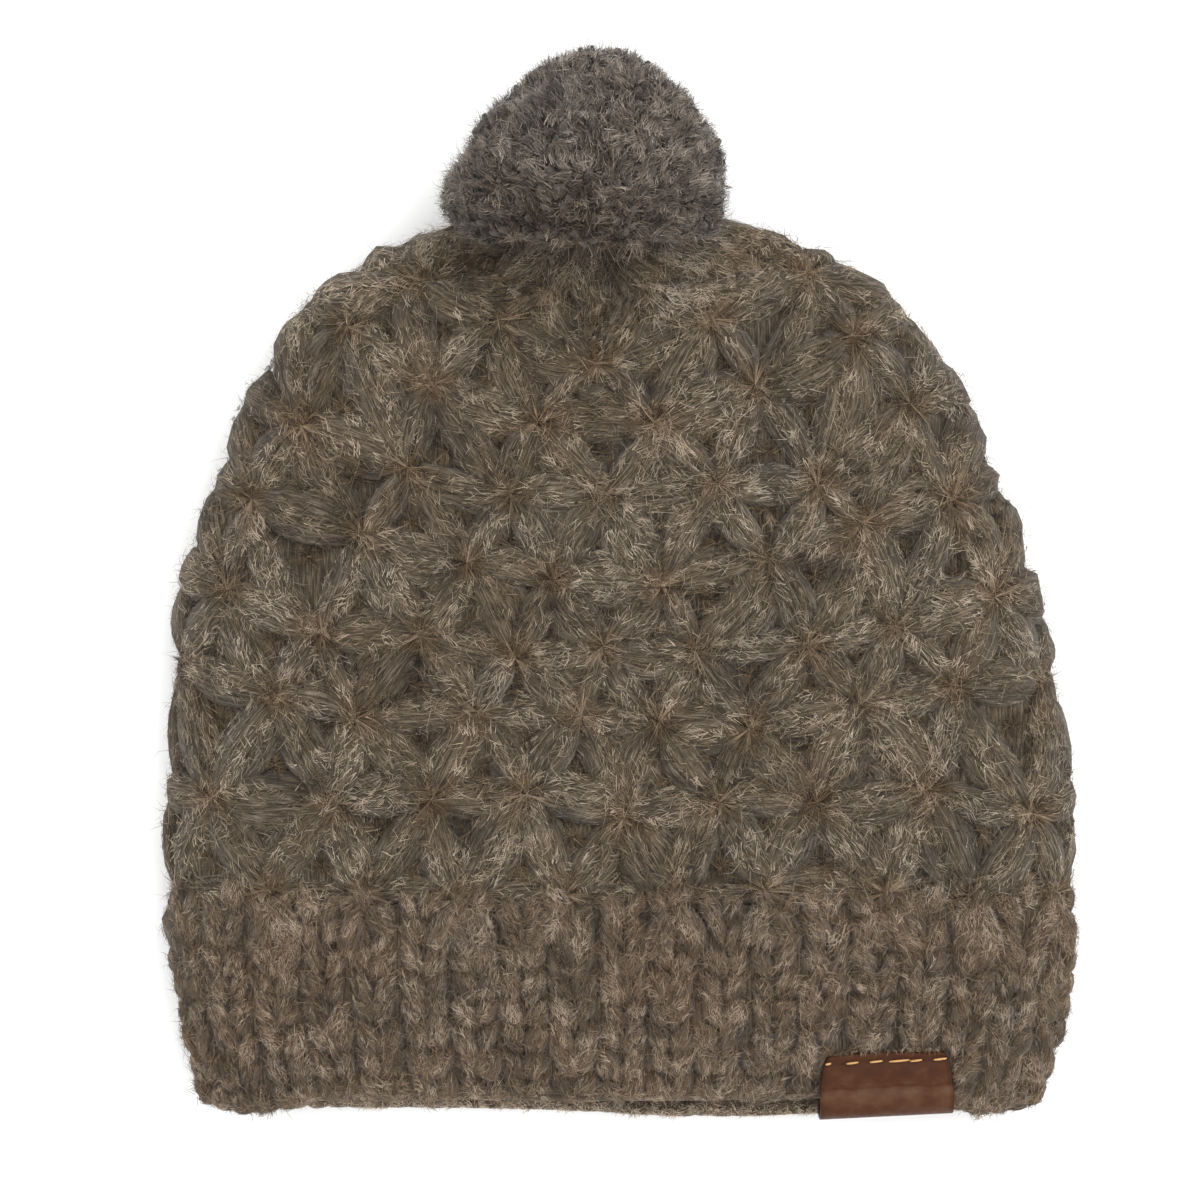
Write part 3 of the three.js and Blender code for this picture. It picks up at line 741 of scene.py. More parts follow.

# %% [markdown]
# Behind the puffs the cloth goes on: the legs of the loops and the inside of the hat. Solidify on one sheet
# would give it thickness, but the folded sides would cut through each other. So a closed wall is laid
# between two grids of sections, one a few millimetres below the puffs and one round the hollow. It fills
# the small gaps between three petals with wool whose halved tones are painted shade, and keeps the hollow
# open, as the solid does.

# %% Backing wall of the crown
CROWN_WALL, FOLD_WALL = 9, 13
CROWN_BACKING = 4.2
GATHER_ROUNDS = 2
WALL_START, WALL_PLACES, HOLLOW_ROWS = 0.02, 114, 15


def cloth_wall(name, outside, inside, tube, material):
    """A closed wall between two grids of sections with the same number of places, open at its first row."""
    rows, count = outside.shape[:2]
    inner = rows * count
    ring = np.arange(count)
    after = (ring + 1) % count
    polygons = [grid_quads(rows, count), inner + grid_quads(len(inside), count)[:, ::-1],
                np.stack([ring, inner + ring, inner + after, after], axis=-1)]
    out_last, in_last = (rows - 1) * count, inner + (len(inside) - 1) * count
    if tube:
        polygons.append(np.stack([out_last + ring, out_last + after,
                                  in_last + after, in_last + ring], axis=-1))
    else:
        polygons += [(out_last + ring)[None, :], (in_last + ring)[None, ::-1]]
    points = np.concatenate([outside.reshape(-1, 3), inside.reshape(-1, 3)])
    points[:, 2] = np.maximum(points[:, 2], ABOVE_TABLE)
    places = [np.stack(np.broadcast_arrays(np.linspace(low, high, len(grid))[:, None],
                                           (np.arange(count) / count)[None, :]), axis=-1).reshape(-1, 2)
              for grid, low, high in ((outside, 0.01, 0.49), (inside, 0.51, 0.99))]
    uv = np.concatenate(places)[:, ::-1]
    yarn = np.column_stack([points[:, 1] + points[:, 2], points[:, 0], np.zeros(len(points))])
    return joined_mesh(name, points, polygons, material, {"yarn": yarn, "warm": np.zeros(len(points))}, uv)


rows = np.linspace(WALL_START, CROWN_TOP, 3 * CROWN_TOP + 1)
hollow_rows = np.linspace(WALL_START, CROWN_TOP - GATHER_ROUNDS, HOLLOW_ROWS)
backing = cloth_sections(CROWN_ROUNDS, rows, WALL_PLACES, CROWN_BACKING, CROWN_BACKING)
hollow = cloth_sections(CROWN_ROUNDS, hollow_rows, WALL_PLACES, FOLD_WALL, CROWN_WALL)
crown_wall = cloth_wall("crown_wall", backing, hollow, False, crown_yarn)

# %% [markdown]
# ## Where the label sits
# A strip of leather is folded over the front layer's rim. It comes last, but its place is needed now: the
# stitches below it are pressed in, and no fibre may grow through it.

# %% Place of the label
LABEL_WIDTH, LABEL_THICKNESS, LABEL_X = 36, 1.6, 73
LABEL_FRONT_TOP_Y, LABEL_BACK_TOP_Y, LABEL_FOLD_Y = -126.5, -131, -144.2
LABEL_PROUD, LABEL_TURN = 0.5, np.radians(2.4)
SIDE_MARGIN, TOP_MARGIN, FRONT_LAYER = 0.6, 0.4, 14


def under_label(points):
    """Which points lie under the label, on the front layer or round its rim."""
    x, y = points[..., 0] - LABEL_X, points[..., 1] - LABEL_FOLD_Y
    across = x * np.cos(LABEL_TURN) + y * np.sin(LABEL_TURN)
    up = y * np.cos(LABEL_TURN) - x * np.sin(LABEL_TURN)
    beside = np.abs(across) < LABEL_WIDTH / 2 + SIDE_MARGIN
    below = up < LABEL_FRONT_TOP_Y - LABEL_FOLD_Y + TOP_MARGIN
    return beside & below & (points[..., 2] > FRONT_LAYER)


print("label at", LABEL_X, "mm,", LABEL_WIDTH, "mm wide")

# %% [markdown]
# ## Ribs of the band
# The band is knitted, not crocheted: each rib is a column of V stitches, and each V is two short puffs that
# lean towards each other. Between two columns the cloth dips into a dark valley. The same puff makes them,
# shorter and plainer than in the crown, on the map of the band.

# %% V stitches
RIBS_ROUND = 38
BAND_WALL = 7.6
ROWS_OF_V = 8
PAST_RIM = 1.6
LEG_OUT, LEG_IN, LEG_LONG = 0.37, 0.07, 1.3
RIB_WIDE, RIB_HIGH = 3.35, 2.7

middle_line = band_map.places[:, 0]
run = np.concatenate([[0], np.cumsum(np.linalg.norm(np.diff(middle_line, axis=0), axis=-1))])
row_pitch = (run[-1] + PAST_RIM) / ROWS_OF_V


def band_row_at(distance):
    """The round of the band at a distance below the seam; above the seam it carries straight on."""
    within = np.interp(distance, run, np.arange(len(run)) / MAP_ROWS_PER_ROUND)
    return np.where(distance < 0, distance / run[1] / MAP_ROWS_PER_ROUND, within)


line, rib, leg = (a.ravel() for a in np.meshgrid(
    np.arange(ROWS_OF_V), np.arange(RIBS_ROUND), (-1, 1), indexing="ij"))
count = len(line)
top = (line - 0.5) * row_pitch + random.normal(0, 1, count) * np.where(line == 0, 2.0, 0.8)
wander = random.normal(0, 0.03, (RIBS_ROUND, ROWS_OF_V))[rib, line]


def leg_end(distance, away):
    """Round and turn of the end of a leg, some way to the side of the middle of its rib."""
    return band_row_at(distance), (rib + wander + leg * away) / RIBS_ROUND


outer = leg_end(top, LEG_OUT)
inner = leg_end(top + random.normal(LEG_LONG, 0.08, count) * row_pitch, LEG_IN)
rib_legs = {
    "row": np.stack([outer[0], inner[0]]), "turn": np.stack([outer[1], inner[1]]),
    "half_width": RIB_WIDE * random.normal(1, 0.14, count),
    "half_height": RIB_HIGH * random.normal(1, 0.1, count),
    "bow": random.normal(0, 0.5, count), "end_share": np.full(count, 0.34),
    "flutes": np.full(count, RIB_STRANDS), "flute_depth": random.uniform(0.03, 0.08, count),
    "twist": random.normal(0, 1.5, count), "phase": random.uniform(0, ANY_PHASE, count)}
rib_legs["sink_middle"] = rib_legs["half_height"] + random.uniform(-0.6, 0.4, count)
rib_legs["sink_end"] = np.full(count, 3.8)
print("V stitches:", ROWS_OF_V, "rows in", RIBS_ROUND, "ribs,", round(float(row_pitch), 1), "mm apart")

# %% [markdown]
# The lowest round of stars is worked over the seam, so two petals of each star reach down into the band.
# They join the legs of the ribs in one mesh. Where the label presses on the band, its stitches lie deeper.

# %% Petals over the seam
SEAM_PETAL, PRESSED_SINK = 14, 1.6
PETAL_WIDE, PETAL_HIGH, PETAL_SINK = 4.4, 3.2, 1.6
RIB_RINGS, RIB_SIDES = 6, 8

i, leg = (a.ravel() for a in np.meshgrid(np.arange(STARS_IN_ROUND[0]), (-1, 1), indexing="ij"))
count = len(i)
seam_turn = star_turn[0][i]
seam_petals = {
    "row": np.stack([np.zeros(count), band_row_at(SEAM_PETAL * random.normal(1, 0.15, count))]),
    "turn": np.stack([seam_turn, seam_turn + leg * random.normal(0.26, 0.05, count) / STARS_IN_ROUND[0]]),
    "half_width": PETAL_WIDE * random.normal(1, 0.14, count),
    "half_height": PETAL_HIGH * random.normal(1, 0.1, count),
    "bow": random.normal(0, 0.4, count), "end_share": np.full(count, 0.3),
    "flutes": np.full(count, RIB_STRANDS), "flute_depth": np.full(count, 0.06),
    "twist": random.normal(0, 1, count), "phase": random.uniform(0, ANY_PHASE, count),
    "sink_middle": PETAL_SINK + random.uniform(-0.5, 0.8, count), "sink_end": np.full(count, 3.6)}
rib_legs = {key: np.concatenate([value, seam_petals[key]], axis=-1) for key, value in rib_legs.items()}
pressed = under_label(band_map.at(rib_legs["row"].mean(axis=0), rib_legs["turn"].mean(axis=0))[0])
rib_legs["sink_middle"][pressed] += PRESSED_SINK
band_stitches = puff_mesh("band_stitches", band_map, rib_legs, RIB_RINGS, RIB_SIDES, band_yarn)

# %% [markdown]
# The rim itself is a chain of stitches along the edge, which closes the thickness of the cloth. Each link
# lies across the ribs and overlaps the next, so that the chain has no gaps. Under the label it is squeezed
# flat.

# %% Rim chain
RIM_STITCHES = 2 * RIBS_ROUND
LINK_OVERLAP = 0.22
PRESSED_HEIGHT, PRESSED_WIDTH = 0.6, 0.5
CHAIN_RINGS, CHAIN_SIDES = 7, 10

at = np.arange(RIM_STITCHES)
rim_row = band_row_at(run[-1] - PAST_RIM + random.normal(0, 0.25, RIM_STITCHES))
rim_chain = {
    "row": np.stack([rim_row, np.roll(rim_row, -1)]),
    "turn": np.stack([at - LINK_OVERLAP, at + 1 + LINK_OVERLAP]) / RIM_STITCHES,
    "half_width": 2.5 * random.normal(1, 0.06, RIM_STITCHES),
    "half_height": 3.5 * random.normal(1, 0.05, RIM_STITCHES),
    "bow": np.zeros(RIM_STITCHES), "end_share": np.full(RIM_STITCHES, 0.5),
    "flutes": np.full(RIM_STITCHES, RIB_STRANDS), "flute_depth": np.full(RIM_STITCHES, 0.05),
    "twist": random.normal(0, 1.5, RIM_STITCHES), "phase": random.uniform(0, ANY_PHASE, RIM_STITCHES),
    "sink_middle": np.full(RIM_STITCHES, 3.5), "sink_end": np.full(RIM_STITCHES, 3.9)}
pressed = under_label(band_map.at(rim_chain["row"].mean(axis=0), rim_chain["turn"].mean(axis=0))[0])
rim_chain["half_height"][pressed] *= PRESSED_HEIGHT
rim_chain["half_width"][pressed] *= PRESSED_WIDTH
band_edge = puff_mesh("band_edge", band_map, rim_chain, CHAIN_RINGS, CHAIN_SIDES, band_yarn)

# %% [markdown]
# The back layer reaches a little further than the front one and its edge rolls up, so it shows below the
# rim as a strip, painted paler as painted light. Its chain needs cloth to lie on, so the table of rounds
# gets one more row for it alone. The chain sinks back under the rim towards both its ends, so that it
# doesn't stop short.

# %% Rolled edge of the back layer
BACK_ROLL, ROLL_STITCHES, ROLL_SPAN = 3.2, 34, 0.38
ROLL_NARROWER, ROLL_LINK = 0.6, 1.4
ROLL_HIDDEN, ROLL_RISE, ROLL_SHOWN, ROLL_FADE = 0.5, 0.92, 4, 8

past_rim = BAND_ROUNDS[-1] - (BACK_ROLL, BACK_ROLL, ROLL_NARROWER, 0, 0, 0)
roll_map = ClothMap(np.vstack([BAND_ROUNDS, past_rim]), -1, band_rim_shape)
roll_chance = np.random.default_rng(39)
from_middle = np.arange(ROLL_STITCHES) / ROLL_STITCHES - 0.5
roll_turn = 0.5 + ROLL_SPAN * from_middle
roll_shows = np.clip(ROLL_SHOWN - ROLL_FADE * np.abs(from_middle), 0, 1)
roll_row = BAND_RIM - ROLL_HIDDEN + ROLL_RISE * roll_shows + roll_chance.normal(0, 0.08, ROLL_STITCHES)
back_roll = {
    "row": np.stack([roll_row, np.roll(roll_row, -1)]),
    "turn": np.stack([roll_turn, roll_turn + ROLL_LINK * ROLL_SPAN / ROLL_STITCHES]),
    "half_width": 2.3 * roll_chance.normal(1, 0.1, ROLL_STITCHES),
    "half_height": 2.3 * roll_chance.normal(1, 0.06, ROLL_STITCHES),
    "bow": np.zeros(ROLL_STITCHES), "end_share": np.full(ROLL_STITCHES, 0.55),
    "flutes": np.full(ROLL_STITCHES, RIB_STRANDS), "flute_depth": np.full(ROLL_STITCHES, 0.05),
    "twist": roll_chance.normal(0, 1.5, ROLL_STITCHES),
    "phase": roll_chance.uniform(0, ANY_PHASE, ROLL_STITCHES),
    "sink_middle": np.full(ROLL_STITCHES, 2.9), "sink_end": np.full(ROLL_STITCHES, 3.2)}
back_edge = puff_mesh("back_edge", roll_map, back_roll, CHAIN_RINGS, CHAIN_SIDES, band_yarn)

# %% [markdown]
# The band gets a backing wall as the crown did. It is a tube, because both its ends are open: the upper one
# meets the crown's wall, and the lower one is the way into the hat.

# %% Backing wall of the band
BAND_BACKING, BAND_WALL_ROWS, RIM_SHORT = 3.2, 16, 0.2
rows = np.linspace(0, BAND_RIM - RIM_SHORT, BAND_WALL_ROWS)
backing = cloth_sections(BAND_ROUNDS, rows, WALL_PLACES, BAND_BACKING, BAND_BACKING, band_rim_shape)
hollow = cloth_sections(BAND_ROUNDS, rows, WALL_PLACES, FOLD_WALL, BAND_WALL, band_rim_shape)
band_wall = cloth_wall("band_wall", backing[:, ::-1], hollow[:, ::-1], True, band_yarn)

# %% [markdown]
# ## Loose fibres
# Brushed wool hides its yarn under a coat of fine fibres. Hair particles would be the usual tool, but only
# a mesh can be carried to other programs, so each fibre here is a thin triangle, or a short bent strip
# where it curls. It is rooted on a puff, lies mostly along the yarn, lifts a little off it, and takes the
# outward direction of the yarn as its normal, so that the coat catches light as one soft surface. Fibres
# that grow close together form a lock: they lean the same way, draw together at their tips and share a
# shade.

# %% Soft noise
WAVES = 20


def soft_noise(points, size, seed):
    """A smooth random value at each place, about 0 with a spread of 1, that changes over the given size."""
    chance = np.random.default_rng(seed)
    headings = unit(chance.normal(0, 1, (WAVES, 3)))
    waves = headings * 2 * np.pi / (size * chance.uniform(1.4, 3.6, (WAVES, 1)))
    return np.sin(points @ waves.T + chance.uniform(0, 2 * np.pi, WAVES)).sum(axis=1) / np.sqrt(WAVES / 2)


print("noise at the middle of the table:", soft_noise(np.zeros((1, 3)), 5, 1).round(2))


# %% Locks
def locks_of(*cells):
    """Numbers the locks from 0: fibres whose cells agree are in one lock."""
    return np.unique(np.column_stack(cells).astype(int), axis=0, return_inverse=True)[1].ravel()


def either_way(lock, chance):
    """1 or -1 for each lock, since it may lie either way along its yarn."""
    return chance.choice((-1, 1), lock.max() + 1)[lock][:, None]


def shared(lock, chance, spread):
    """A random value for each lock, handed to all its fibres."""
    return chance.normal(0, spread, lock.max() + 1)[lock]


def mean_of(lock, values):
    """The mean of a value over each lock, handed back to all its fibres."""
    total = np.stack([np.bincount(lock, values[:, axis]) for axis in range(3)], axis=-1)
    return (total / np.bincount(lock)[:, None].clip(1))[lock]


print("three fibres in two locks:", locks_of(np.array([5, 2, 5])))

# %% [markdown]
# How one kind of fibre looks is said with a few words and numbers: how long and wide it is, how much it
# lifts off the yarn, strays to the side and bends, how much of it stays at the hat's edges, how far the
# tips of a lock are gathered, and how much the shade changes from lock to lock and from fibre to fibre.
# With this, one function makes the down, the hairs and the rays of the whole hat.

# %% Fibre mesh
LENGTH_SHAPE = 8
WAIST = 0.8


def fibre_mesh(name, roots, along, facing, look, lock, shade, warm, material, chance):
    """Thin tapered fibres: along the yarn, strayed to the side, lifted, and drawn together in locks."""
    count = len(roots)
    side = unit(np.cross(facing, along))
    seen = look["edge"] + (1 - look["edge"]) * np.clip(facing[:, 2], 0, 1)
    long = (chance.gamma(LENGTH_SHAPE, look["long"] / LENGTH_SHAPE, count) * np.sqrt(seen))[:, None]
    turn = (0.5 * soft_noise(roots, 4, 11) + shared(lock, chance, 0.6)
            + chance.normal(0, 0.8, count))[:, None] * look["stray"]
    lifted = np.abs(1 + shared(lock, chance, 0.5) + chance.normal(0, 0.5, count))
    rise = (lifted * look["lift"] * seen)[:, None]

    def aimed(turn, rise):
        flat = unit(along * np.cos(turn) + side * np.sin(turn))
        return unit(flat * np.cos(rise) + facing * np.sin(rise))

    bend = chance.normal(0, look["bend"], count)[:, None]
    middle = roots + aimed(turn, rise) * long / 2
    tips = middle + aimed(turn + bend, rise * 0.3) * long / 2
    tips = tips + (mean_of(lock, tips) - tips) * look["gather"]
    roll = chance.normal(0, 0.6, count)[:, None]
    away = unit(tips - roots)
    across = unit(np.cross(away, facing))
    across = unit(across * np.cos(roll) + np.cross(away, across) * np.sin(roll)) * look["wide"] / 2
    if look["bend"]:
        waist = across * WAIST
        points = np.stack([roots - across, roots + across, middle + waist, middle - waist, tips], axis=1)
        shapes = [(0, 1, 2, 3), (3, 2, 4)]
    else:
        points = np.stack([roots - across, roots + across, tips], axis=1)
        shapes = [(0, 1, 2)]
    points[..., 2] = np.maximum(points[..., 2], ABOVE_TABLE)
    flat = np.cross(points[:, 1] - points[:, 0], points[:, -1] - points[:, 0])
    wrong = (flat * facing).sum(axis=1) < 0
    size = points.shape[1]
    polygons = []
    for shape in shapes:
        made = np.arange(count)[:, None] * size + np.array(shape)
        made[wrong] = made[wrong][:, ::-1]
        polygons.append(made)
    points = points.reshape(-1, 3)
    low, high = points.min(axis=0), points.max(axis=0)
    uv = (points[:, :2] - low[:2]) / (high[:2] - low[:2])
    own = shared(lock, chance, look["lock_shade"]) + chance.normal(0, look["shade"], count)
    shade = np.repeat(np.clip(shade + own, 0, 1), size)
    warm = np.repeat(np.broadcast_to(warm, count), size)
    return joined_mesh(name, points, polygons, material, {"shade": shade, "warm": warm}, uv,
                       np.repeat(facing, size, axis=0))


# %% Roots and locks on the puffs
LOCK_LONG, LOCK_WIDE = 2.8, 0.4
THICK_FROM_ROUND, THICKER = 7.2, 1.7
SPARE = 5
ALONG_FROM, ALONG_TO, ROUND_TO = 0.02, 0.98, 2.3


def fibre_roots(cloth, puffs, wanted, chance, rim, lowest=-0.6):
    """Random roots on the outer sides of puffs, more on the longer ones, where the hat can be seen."""
    length = puff_lengths(cloth, puffs)
    coat = np.where(puffs["row"].mean(axis=0) > THICK_FROM_ROUND, THICKER, 1)
    weight = length * puffs["half_width"] * coat
    index = chance.choice(len(weight), SPARE * wanted, p=weight / weight.sum())
    share = chance.uniform(ALONG_FROM, ALONG_TO, len(index))
    angle = np.pi / 2 + chance.uniform(-ROUND_TO, ROUND_TO, len(index))
    roots, along, facing = puff_skin(cloth, pick(puffs, index), share, angle)
    half_step = (angle / LOCK_WIDE).astype(int) % 2 / 2
    cell = np.stack([index, share * length[index] / LOCK_LONG + half_step, angle / LOCK_WIDE], axis=-1)
    shows = chance.uniform(0, 1, len(index)) < rim + (1 - rim) * np.clip(facing[:, 2], 0, 1)
    seen = np.flatnonzero((facing[:, 2] > lowest) & shows & ~under_label(roots))[:wanted]
    lock = locks_of(cell[seen])
    along = along[seen] * either_way(lock, chance)
    return roots[seen], along, facing[seen], share[seen], np.sin(angle[seen]), index[seen], lock


print("a lock on a puff is", LOCK_LONG, "mm long")

# %% [markdown]
# The crown's coat has three kinds of fibre. Short down covers each puff, longer curled hairs stand off it
# and soften the outline, and a few long stray hairs cross from star to star. The wool is painted paler on
# the crest of a puff and darker on its flanks, as painted light and shade, and painted paler near the
# gathered top, as painted light against the pompom's shadow. Each puff has a shade of its own, and small
# tufts of dark wool are spun in.

# %% Fibres of the crown
# painted light on the crest of each puff and painted shade on its flanks
CROWN_SHADE, MIDDLE_PALER, CREST_PAINTED_LIGHT, CREST_LEVEL = 0.45, 0.14, 0.42, 0.75
PUFF_SHADES, PATCH_SHADES, PATCH_SIZE = 0.11, 0.09, 3
# painted light near the gathered top, against the shadow of the pompom
TOP_PAINTED_LIGHT, TOP_FROM, TOP_SPAN = 0.26, 76, 18
DARK_TUFT, DARK_TUFT_SIZE, DARK_TUFT_LEVEL, DARK_TUFT_GAIN = 0.26, 1.5, 0.8, 2.5


def crown_fibres(name, wanted, look, seed, rim=0.15):
    """Fibres on the star puffs, with the shades of the crown."""
    chance = np.random.default_rng(seed)
    roots, along, facing, share, top, index, lock = fibre_roots(crown_map, star_puffs, wanted, chance, rim)
    of_puff = np.random.default_rng(4).normal(0, PUFF_SHADES, len(star_puffs["half_width"]))[index]
    # painted light on each puff's crest, painted shade on its flanks
    shade = CROWN_SHADE + MIDDLE_PALER * np.sin(np.pi * share) + CREST_PAINTED_LIGHT * (top - CREST_LEVEL)
    shade += of_puff + PATCH_SHADES * soft_noise(roots, PATCH_SIZE, 12)
    # painted light near the gathered top, where the pompom shades the crown
    shade += TOP_PAINTED_LIGHT * np.clip((roots[:, 1] - TOP_FROM) / TOP_SPAN, 0, 1)
    tufts = DARK_TUFT_GAIN * (soft_noise(roots, DARK_TUFT_SIZE, 14) - DARK_TUFT_LEVEL)
    shade -= DARK_TUFT * np.clip(tufts, 0, 1)
    return fibre_mesh(name, roots, along, facing, look, lock, shade, pinch_warmth(share), crown_fibre, chance)


crown_down = crown_fibres("crown_down", 160000, {
    "long": 3.1, "wide": 0.25, "lift": 0.2, "stray": 0.58, "bend": 0, "edge": 0.35,
    "gather": 0.3, "lock_shade": 0.17, "shade": 0.16}, 31)
crown_hairs = crown_fibres("crown_hairs", 53000, {
    "long": 4.8, "wide": 0.12, "lift": 0.3, "stray": 1.0, "bend": 1.1, "edge": 1.1,
    "gather": 0.1, "lock_shade": 0.08, "shade": 0.18}, 32, 0.35)
stray_hairs = crown_fibres("stray_hairs", 260, {
    "long": 11.0, "wide": 0.11, "lift": 0.22, "stray": 1.4, "bend": 1.5, "edge": 0.4,
    "gather": 0, "lock_shade": 0, "shade": 0.25}, 36)

# %% [markdown]
# The pinch in the middle of a star draws fibres in from all sides, which show as fine warm rays. Between
# three petals the cloth lies deeper, and shorter down fills the gap, painted darker and warmer as the shade
# there. Both are fibres that start round a spot and point every way along the cloth, so one function makes
# them.

# %% Rays of the stars
RAYS, RAY_DEPTH, RAY_SPREAD, RAY_LOCKS = 340, 2.8, 0.5, 22
RAY_SHADE, RAY_WARMTH, LOWEST_OUT = 0.44, 0.5, -0.15


def spread_fibres(name, spots, each, depth, spread, locks, look, shade, warm, seed):
    """Fibres that start round given spots of the crown and point every way along the cloth."""
    chance = np.random.default_rng(seed)
    place, out = crown_map.at(*(np.repeat(a, each) for a in spots))
    spot = np.repeat(np.arange(len(spots[0])), each)
    first = unit(np.cross(out, (0.0, 1.0, 0.2)))
    second = np.cross(out, first)
    turn = chance.uniform(0, 2 * np.pi, len(spot))
    along = first * np.cos(turn)[:, None] + second * np.sin(turn)[:, None]
    roots = place - out * (depth + chance.normal(0, 0.4, len(spot)))[:, None]
    roots = roots + along * np.abs(chance.normal(0, spread, len(spot)))[:, None]
    seen = np.flatnonzero((out[:, 2] > LOWEST_OUT) & ~under_label(roots))
    lock = locks_of(spot[seen], turn[seen] / (2 * np.pi) * locks)
    return fibre_mesh(name, roots[seen], along[seen], out[seen], look, lock, shade, warm, crown_fibre, chance)


centre_spots = np.concatenate(star_row), np.concatenate(star_turn)
star_rays = spread_fibres("star_rays", centre_spots, RAYS, RAY_DEPTH, RAY_SPREAD, RAY_LOCKS, {
    "long": 6.6, "wide": 0.2, "lift": 0.4, "stray": 0.15, "bend": 0, "edge": 0.5,
    "gather": 0.3, "lock_shade": 0.2, "shade": 0.16}, RAY_SHADE, RAY_WARMTH, 37)

# %% Down in the gaps
GAP_FIBRES, GAP_DEPTH, GAP_SPREAD, GAP_LOCKS = 110, 2.2, 2.0, 6
# painted shade: the down in the gaps is darker and warmer for the shade between three petals
GAP_PAINTED_SHADE, GAP_WARMTH = 0.26, 0.4

gap_spots = []
for j, stars in enumerate(STARS_IN_ROUND):
    for other in {j - 1, j + 1} & set(range(len(STARS_IN_ROUND))):
        for i in range(stars):
            first, second = centre_of((j, i)), centre_of((j, i + 1))
            nearest = (first[1] + second[1]) / 2 * STARS_IN_ROUND[other] - (0.5 if other % 2 == 0 else 0.0)
            third = centre_of((other, round(nearest)))
            gap_spots.append(np.mean([first, second, third], axis=0))
gap_down = spread_fibres("gap_down", np.array(gap_spots).T, GAP_FIBRES, GAP_DEPTH, GAP_SPREAD, GAP_LOCKS, {
    "long": 3.6, "wide": 0.22, "lift": 0.3, "stray": 0.8, "bend": 0, "edge": 0.35,
    "gather": 0.2, "lock_shade": 0.1, "shade": 0.15}, GAP_PAINTED_SHADE, GAP_WARMTH, 38)

# %% [markdown]
# Round the gathered top the puffs lie far apart and the wall behind them would show bare beside the pompom.
# On the hat this place is filled with the wool of the gathers, so loose down grows on the cloth itself.

# %% Down round the gathered top
NECK_FIBRES, NECK_FROM, NECK_DEPTH = 8500, 7.2, 2.9
NECK_SHADE, NECK_WARMTH = 0.56, 0.15
NECK_LOCK_ROWS, NECK_LOCK_TURNS, NECK_LOWEST_OUT = 10, 160, -0.2
PAST_TOP, BELOW_TOP, UPWARD_STEP = 0.6, 0.05, 0.1

chance = np.random.default_rng(42)
row = chance.triangular(NECK_FROM, NECK_FROM, CROWN_TOP + PAST_TOP, 3 * NECK_FIBRES)
row = row.clip(NECK_FROM, CROWN_TOP - BELOW_TOP)
turn = chance.uniform(0, 1, len(row))
place, out = crown_map.at(row, turn)
seen = np.flatnonzero(out[:, 2] > NECK_LOWEST_OUT)[:NECK_FIBRES]
lock = locks_of(row[seen] * NECK_LOCK_ROWS, turn[seen] * NECK_LOCK_TURNS)
upward = unit(crown_map.at(row + UPWARD_STEP, turn)[0] - place)[seen] * either_way(lock, chance)
roots = place[seen] - out[seen] * (NECK_DEPTH + chance.normal(0, 0.5, len(seen)))[:, None]
neck_down = fibre_mesh("neck_down", roots, upward, out[seen], {
    "long": 4.2, "wide": 0.26, "lift": 0.26, "stray": 0.9, "bend": 0, "edge": 0.4,
    "gather": 0.3, "lock_shade": 0.15, "shade": 0.16}, lock, NECK_SHADE, NECK_WARMTH, crown_fibre, chance)

# %% [markdown]
# The band's coat is made as the crown's is, from down and curled hairs. Its stitches are smaller and
# flatter, so its fibres are shorter and the painted light on its crests is weaker. The chain along the rim
# has short, paler down of its own.

# %% Fibres of the band
# painted light on the crest of each rib stitch and painted shade in the valleys between
BAND_SHADE, BAND_MIDDLE_PALER, BAND_CREST_PAINTED_LIGHT = 0.43, 0.12, 0.12
BAND_PUFF_SHADES, BAND_PATCH_SHADES, BAND_WARMTH = 0.07, 0.07, 0.5


def band_fibres(name, puffs, wanted, look, seed, rim=0.15, paler=0.0):
    """Fibres on the rib stitches or the rim, with the shades of the band."""
    chance = np.random.default_rng(seed)
    roots, along, facing, share, top, index, lock = fibre_roots(band_map, puffs, wanted, chance, rim)
    of_puff = np.random.default_rng(5).normal(0, BAND_PUFF_SHADES, len(puffs["half_width"]))[index]
    shade = BAND_SHADE + paler + BAND_MIDDLE_PALER * np.sin(np.pi * share)
    # painted light on rib crests, painted shade on their flanks
    shade += BAND_CREST_PAINTED_LIGHT * (top - CREST_LEVEL) + of_puff
    shade += BAND_PATCH_SHADES * soft_noise(roots, PATCH_SIZE, 13)
    warm = BAND_WARMTH * pinch_warmth(share)
    return fibre_mesh(name, roots, along, facing, look, lock, shade, warm, band_fibre, chance)


band_down = band_fibres("band_down", rib_legs, 110000, {
    "long": 2.7, "wide": 0.2, "lift": 0.24, "stray": 0.62, "bend": 0, "edge": 0.35,
    "gather": 0.3, "lock_shade": 0.15, "shade": 0.17}, 33)
band_hairs = band_fibres("band_hairs", rib_legs, 21500, {
    "long": 4.0, "wide": 0.13, "lift": 0.27, "stray": 1.0, "bend": 1.1, "edge": 1.1,
    "gather": 0.1, "lock_shade": 0.08, "shade": 0.16}, 35, 0.35)
edge_down = band_fibres("edge_down", rim_chain, 15000, {
    "long": 1.7, "wide": 0.2, "lift": 0.12, "stray": 0.5, "bend": 0, "edge": 0.35,
    "gather": 0.2, "lock_shade": 0.08, "shade": 0.14}, 34, 0.3, 0.1)

# %% [markdown]
# From low in front the rim shows the thickness of the cloth. A bare wall would look like the end of a plank
# there, so down lies on it too, across the thickness. The edge that rolls up at the back is brushed as the
# rest is, and gets its own fibres, painted paler as painted light.

# %% Down on the thickness of the rim
RIM_DOWN, RIM_INSET, RIM_SKIN = 12000, 0.12, 2.6
RIM_DOWN_SHADE = 0.46
RIM_LOCKS, RIM_LOCK_DEPTH = 400, 2

